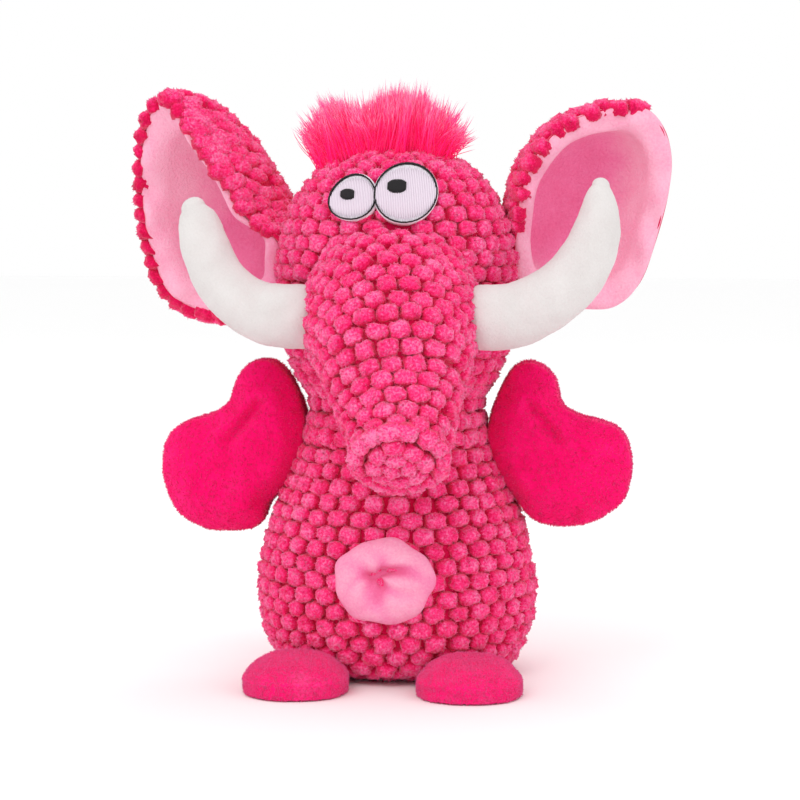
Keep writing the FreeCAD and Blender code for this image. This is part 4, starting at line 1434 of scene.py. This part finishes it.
def make_arm(side):
    """A mitten arm of hot pink pile."""
    outline = closed_outline(ARM_OUTLINES[side], 130)
    at = pivot(side + "_arm_swing")
    out = -1 if side == "right" else 1

    def limit(verts):
        u, v = (verts[:, 0] - at[0]) * out / MM, (verts[:, 2] - at[2]) / MM
        far = edge_distance(outline, u, v)
        tall = 5.4 * np.sqrt(1 - (1 - np.clip(far / 11, 0, 1)) ** 2) * MM
        verts = verts.copy()
        verts[:, 1] = at[1] + np.sign(verts[:, 1] - at[1]) * np.maximum(tall, 0.4 * MM)
        return verts

    verts, faces = stuffed(side + "_arm", outline, arm_place(side), 6.0, 1.15, 5.0, 5.0, limit,
                           (0.2, 1.0, 0.2))
    u, v = (verts[:, 0] - at[0]) * out / MM, (verts[:, 2] - at[2]) / MM
    crease = np.exp(-(((u - 13.5) * 0.75 + (v - 9.5) * 0.62) / 1.5) ** 2)
    along = (u - 13.5) * -0.62 + (v - 9.5) * 0.75
    crease *= smoothstep(-13, -3, along) * (1 - smoothstep(9, 12, along))
    height = verts[:, 1] - at[1]
    verts[:, 1] = at[1] + height * (1 - 0.33 * crease)
    verts = smooth_mesh(verts, faces, 2)
    finish_pile(side + "_arm_pile", verts, faces, [side + "_arm_front", side + "_arm_back",
                                                    side + "_arm_stuffing"], 81)
    at = Vector(at)
    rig.blend(bpy.data.objects[side + "_arm_pile"], "torso", side + "_arm",
             at + Vector((-6 * out * MM, 0, 0)), at + Vector((7 * out * MM, 0, 0)))


def finish_pile(name, verts, faces, nodes, seed, lighter=0.0):
    """A piece of hot pink pile: the stuffed cloth with its short hairs."""
    base = add_mesh(name + "_base", verts, faces, HOT_PILE)
    subdivide = base.modifiers.new("fine", "SUBSURF")
    subdivide.levels = subdivide.render_levels = 1
    apply_modifiers(base)
    fine = np.empty(len(base.data.vertices) * 3)
    normals = np.empty(len(base.data.vertices) * 3)
    base.data.vertices.foreach_get("co", fine)
    base.data.vertices.foreach_get("normal", normals)
    fine, normals = fine.reshape(-1, 3), normals.reshape(-1, 3)
    lumps = grain(fine, 6 * MM, seed) * 0.30 * MM + grain(fine, 1.6 * MM, seed + 1) * 0.10 * MM
    fine = fine + normals * lumps[:, None]
    base.data.vertices.foreach_set("co", fine.reshape(-1))
    base.data.update()
    skin_faces = [list(face.vertices) for face in base.data.polygons]
    # The grain is random tone; the extra level passed in lifts the skin and the hairs as painted light.
    tint = np.column_stack([0.42 + lighter + 0.22 * grain(fine, 7 * MM, seed + 2), np.full(len(fine), 0.5)])
    places, outward = mesh_samples(base, 15000, seed + 3)
    # The hairs run from level 0.46 at the root to 0.98 at the tip: painted shade between the hairs and painted sheen
    # on their tips.
    hairs = spikes(places, outward, 0.72 * MM, 0.20 * MM, seed + 4, (0, 0, -0.4),
                   (0.46 + lighter, 0.98 + lighter))
    parts = join([(fine, skin_faces, tint), hairs])
    bpy.data.objects.remove(base)
    piece = add_mesh(name, *parts[:2], HOT_PILE, parts[2])
    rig.replaces(piece, *nodes)
    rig.slot(piece, "hot_pink_pile")
    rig.padded(piece, fill=0.6)
    return piece


FOOT_SEAM = 0.0045      # height of the seam round a foot, above the floor


def make_foot(side):
    """A flat foot of hot pink pile, with its seam close to the floor."""
    low, high = node_box(side + "_foot_top", side + "_foot_sole")
    out = -1 if side == "right" else 1
    middle = ((low + high) / 2)[:2]
    half = ((high - low) / 2)[:2]
    turn = np.linspace(0, 2 * math.pi, 110, endpoint=False)
    outline = np.column_stack([np.sign(np.cos(turn)) * np.abs(np.cos(turn)) ** 0.92 * half[0],
                               np.sign(np.sin(turn)) * np.abs(np.sin(turn)) ** 0.92 * half[1]]) / MM
    outline[:, 1] = np.where(outline[:, 1] > 0, outline[:, 1] * 0.95, outline[:, 1])

    def place(u, v, height):
        return np.stack([middle[0] + out * u, middle[1] + v, low[2] + FOOT_SEAM + height], axis=-1)

    def limit(verts):
        u, v = (verts[:, 0] - middle[0]) * out / MM, (verts[:, 1] - middle[1]) / MM
        far = edge_distance(outline, u, v)
        top = 8.6 * np.sqrt(1 - (1 - np.clip(far / 12, 0, 1)) ** 2) * MM
        verts = verts.copy()
        rise = verts[:, 2] - low[2] - FOOT_SEAM
        verts[:, 2] = low[2] + FOOT_SEAM + np.where(rise > 0, top, -np.minimum(top, 4.2 * MM))
        return verts

    verts, faces = stuffed(side + "_foot", outline, place, 9.0, 1.3, 7.0, 6.0, limit, (0.2, 0.2, 1.0))
    rise = verts[:, 2] - low[2] - FOOT_SEAM
    back = smoothstep(-16, 10, (verts[:, 1] - middle[1]) / MM)
    far = edge_distance(outline, (verts[:, 0] - middle[0]) * out / MM, (verts[:, 1] - middle[1]) / MM)
    edge = np.sqrt(1 - (1 - np.clip(far / 9, 0.02, 1)) ** 2)
    full = 7.9 * MM / rise.max() * (0.66 + 0.34 * back) * edge
    verts[:, 2] = low[2] + FOOT_SEAM + np.where(rise > 0, rise * full, rise * 0.7)
    floor = low[2] + 0.5 * MM
    verts[:, 2] = np.where(verts[:, 2] < floor, floor + (verts[:, 2] - floor) * 0.04, verts[:, 2])
    verts = smooth_mesh(verts, faces, 2)
    # The feet are coloured 0.26 lighter than the arms: painted light from above.
    piece = finish_pile(side + "_foot_pile", verts, faces, [side + "_foot_top", side + "_foot_sole",
                                                            side + "_foot_stuffing"], 91, 0.26)
    at = Vector(pivot(side + "_foot_lift"))
    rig.blend(piece, "torso", side + "_foot", at + Vector((0, 3 * MM, 0)), at + Vector((0, -6 * MM, 0)))


# ---------------------------------------------------------------- hair
def make_hair():
    """Two clumps of long soft strands on a sewn strip."""
    low, high = node_box("hair_tuft")
    top = high[2]
    for clump, locks, seed, roots, tips in (
            ("hair_left", 62, 101, (-22.0, -16.5, -8.0),
             ((-32.0, -12.5), (-25.0, -3.0), (-11.0, -5.5))),
            ("hair_right", 92, 102, (-9.0, 0.0, 7.0, 12.0, 15.0),
             ((-8.5, -4.0), (0.5, 0.6), (9.5, -1.0), (17.5, -5.5), (23.5, -12.5)))):
        random = np.random.default_rng(seed)
        per_lock = 50
        root_x = random.uniform(roots[0], roots[-1], locks)
        tip_x = np.interp(root_x, roots, [x * 0.95 for x, _ in tips]) + random.normal(0, 1.2, locks)
        tip_z = np.interp(root_x, roots, [z for _, z in tips]) - random.random(locks) ** 1.5 * 6.5
        tip_y = random.normal(-3.0, 4.6, locks)
        root_y = random.normal(-3.2, 2.6, locks) + tip_y * 0.15
        count = locks * per_lock
        lock = np.repeat(np.arange(locks), per_lock)
        x = (root_x[lock] + random.normal(0, 1.5, count)) * MM
        y = (root_y[lock] + random.normal(0, 1.4, count)) * MM
        z = np.interp(np.hypot(x, y / HEAD.depth_ratio), HEAD.radius[::-1], HEAD.height[::-1])
        root = np.column_stack([x, y, z - 1.5 * MM])
        tip = np.column_stack([tip_x, tip_y, tip_z])[lock] + random.normal(0, 1.35, (count, 3))
        tip = tip * MM + np.array([0, 0, top])
        tip = root + (tip - root) * random.uniform(0.68, 1.08, (count, 1))
        bow = random.normal(0, 1.1, (locks, 3))[lock] + random.normal(0, 0.5, (count, 3))
        along = unit(tip - root)
        middle = (root + tip) / 2 + (bow + np.array([0, 0, 0.9])) * MM
        steps, sides = 6, 3
        side = unit(np.cross(along, random.normal(0, 1, (count, 3))))
        other = np.cross(along, side)
        verts = np.empty((count, steps * sides + 1, 3))
        tint = np.empty((count, steps * sides + 1, 2))
        tint[:, :, 1] = random.random((count, 1))
        for i in range(steps):
            t = i / steps
            at = root * (1 - t) ** 2 + middle * 2 * t * (1 - t) + tip * t ** 2
            thick = 0.20 * MM * (1 - 0.5 * t)
            for k in range(sides):
                angle = 2 * math.pi * k / sides
                verts[:, i * sides + k] = at + (side * math.cos(angle) + other * math.sin(angle)) * thick
            # Strands run darker at the roots and lighter at the tips: painted shade deep in the clump and painted
            # highlight on the tips.
            tint[:, i * sides:(i + 1) * sides, 0] = 0.15 + 0.82 * t ** 1.6
        verts[:, -1] = tip
        tint[:, -1, 0] = 1.0
        per = steps * sides + 1
        shape = [(2, 1, 0)]
        for i in range(steps - 1):
            for k in range(sides):
                n = (k + 1) % sides
                shape.append((i * sides + k, i * sides + n, (i + 1) * sides + n, (i + 1) * sides + k))
        last = (steps - 1) * sides
        shape += [(last + k, last + (k + 1) % sides, per - 1) for k in range(sides)]
        faces = [[n * per + k for k in face] for n in range(count) for face in shape]
        piece = add_mesh(clump, verts.reshape(-1, 3), faces, HAIR, tint.reshape(-1, 2))
        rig.replaces(piece, "hair_tuft")
        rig.slot(piece, "hair_fur")
        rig.ride(piece, "head")
    low, high = node_box("hair_strip")
    rings = []
    for across in np.linspace(low[0], high[0], 24):
        ring = []
        for turn in np.arange(10) * 2 * math.pi / 10:
            y = -3.0 * MM + 4.6 * MM * math.cos(turn)
            top = np.interp(math.hypot(across, y), HEAD.radius[::-1], HEAD.height[::-1])
            ring.append((across, y, top - 1.2 * MM + 1.1 * MM * math.sin(turn)))
        rings.append(ring)
    verts = np.array(rings).reshape(-1, 3)
    faces = grid_faces(24, 10, True) + [list(range(10))[::-1], list(range(230, 240))]
    tint = even_tint(240, 0.0)
    piece = add_mesh("hair_sewn_strip", verts, faces, HAIR, tint)
    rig.replaces(piece, "hair_strip")
    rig.slot(piece, "hair_fur")
    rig.ride(piece, "head")


# ---------------------------------------------------------------- inside
def dress_inside():
    """The filling and the squeaker, which stay hidden inside the skins."""
    for node in ("body_stuffing", "head_stuffing"):
        frame["nodes"][node].data.materials.clear()
        frame["nodes"][node].data.materials.append(FIBRE)
    for node in ("squeaker_bulb", "squeaker_reed"):
        frame["nodes"][node].data.materials.clear()
        frame["nodes"][node].data.materials.append(PLASTIC)


# ---------------------------------------------------------------- camera, floor and light
def make_stage():
    """Camera at a little above the toy and to its left, pale floor, soft white light."""
    scene = bpy.context.scene
    data = bpy.data.cameras.new("camera")
    data.lens, data.sensor_width = 124, 36
    camera = bpy.data.objects.new("camera", data)
    scene.collection.objects.link(camera)
    turn, rise, distance = math.radians(6.0), math.radians(5.0), 0.90
    target = Vector((1.5 * MM, -5 * MM, 89.6 * MM))
    back = Vector((math.sin(turn) * math.cos(rise), -math.cos(turn) * math.cos(rise), math.sin(rise)))
    camera.location = target + back * distance
    camera.rotation_euler = (-back).to_track_quat("-Z", "Y").to_euler()
    scene.camera = camera
    scene.view_settings.view_transform = "Standard"

    material, _, shader, _ = node_material("pale_floor")
    shader.inputs["Base Color"].default_value = (0.98, 0.98, 0.98, 1)
    shader.inputs["Roughness"].default_value = 0.9
    size = 3.0
    corners = [(-size, -size, 0), (size, -size, 0), (size, size, 0), (-size, size, 0)]
    floor = add_mesh("floor", corners, [(0, 1, 2, 3)], material, smooth=False)
    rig.stage(floor)

    world = bpy.data.worlds.new("studio")
    world.use_nodes = True
    world.node_tree.nodes["Background"].inputs["Color"].default_value = (1, 1, 1, 1)
    world.node_tree.nodes["Background"].inputs["Strength"].default_value = 1.0
    scene.world = world
    for name, place, size, power in (("key", (-0.4, -0.8, 1.0), 0.8, 3.2),
                                     ("fill", (0.8, -0.6, 0.5), 0.8, 1.0),
                                     ("rim", (0.1, 0.8, 0.9), 0.7, 1.5)):
        data = bpy.data.lights.new(name, "AREA")
        data.shape, data.size, data.energy = "DISK", size, power
        light = bpy.data.objects.new(name, data)
        light.location = place
        light.rotation_euler = (Vector(place) - Vector((0, 0, 0.1))).to_track_quat("Z", "Y").to_euler()
        scene.collection.objects.link(light)


make_stage()
make_body()
make_head()
make_neck()
make_trunk()
make_eyes()
make_belly_patch()
for SIDE in ("right", "left"):
    make_tusk(SIDE)
    make_ear(SIDE)
    make_arm(SIDE)
    make_foot(SIDE)
make_hair()
dress_inside()

with open("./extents.json", "w") as out:
    low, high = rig.bounds()
    json.dump({"cad": [list(CAD_LOW), list(CAD_HIGH)], "visual": [list(low), list(high)]}, out)
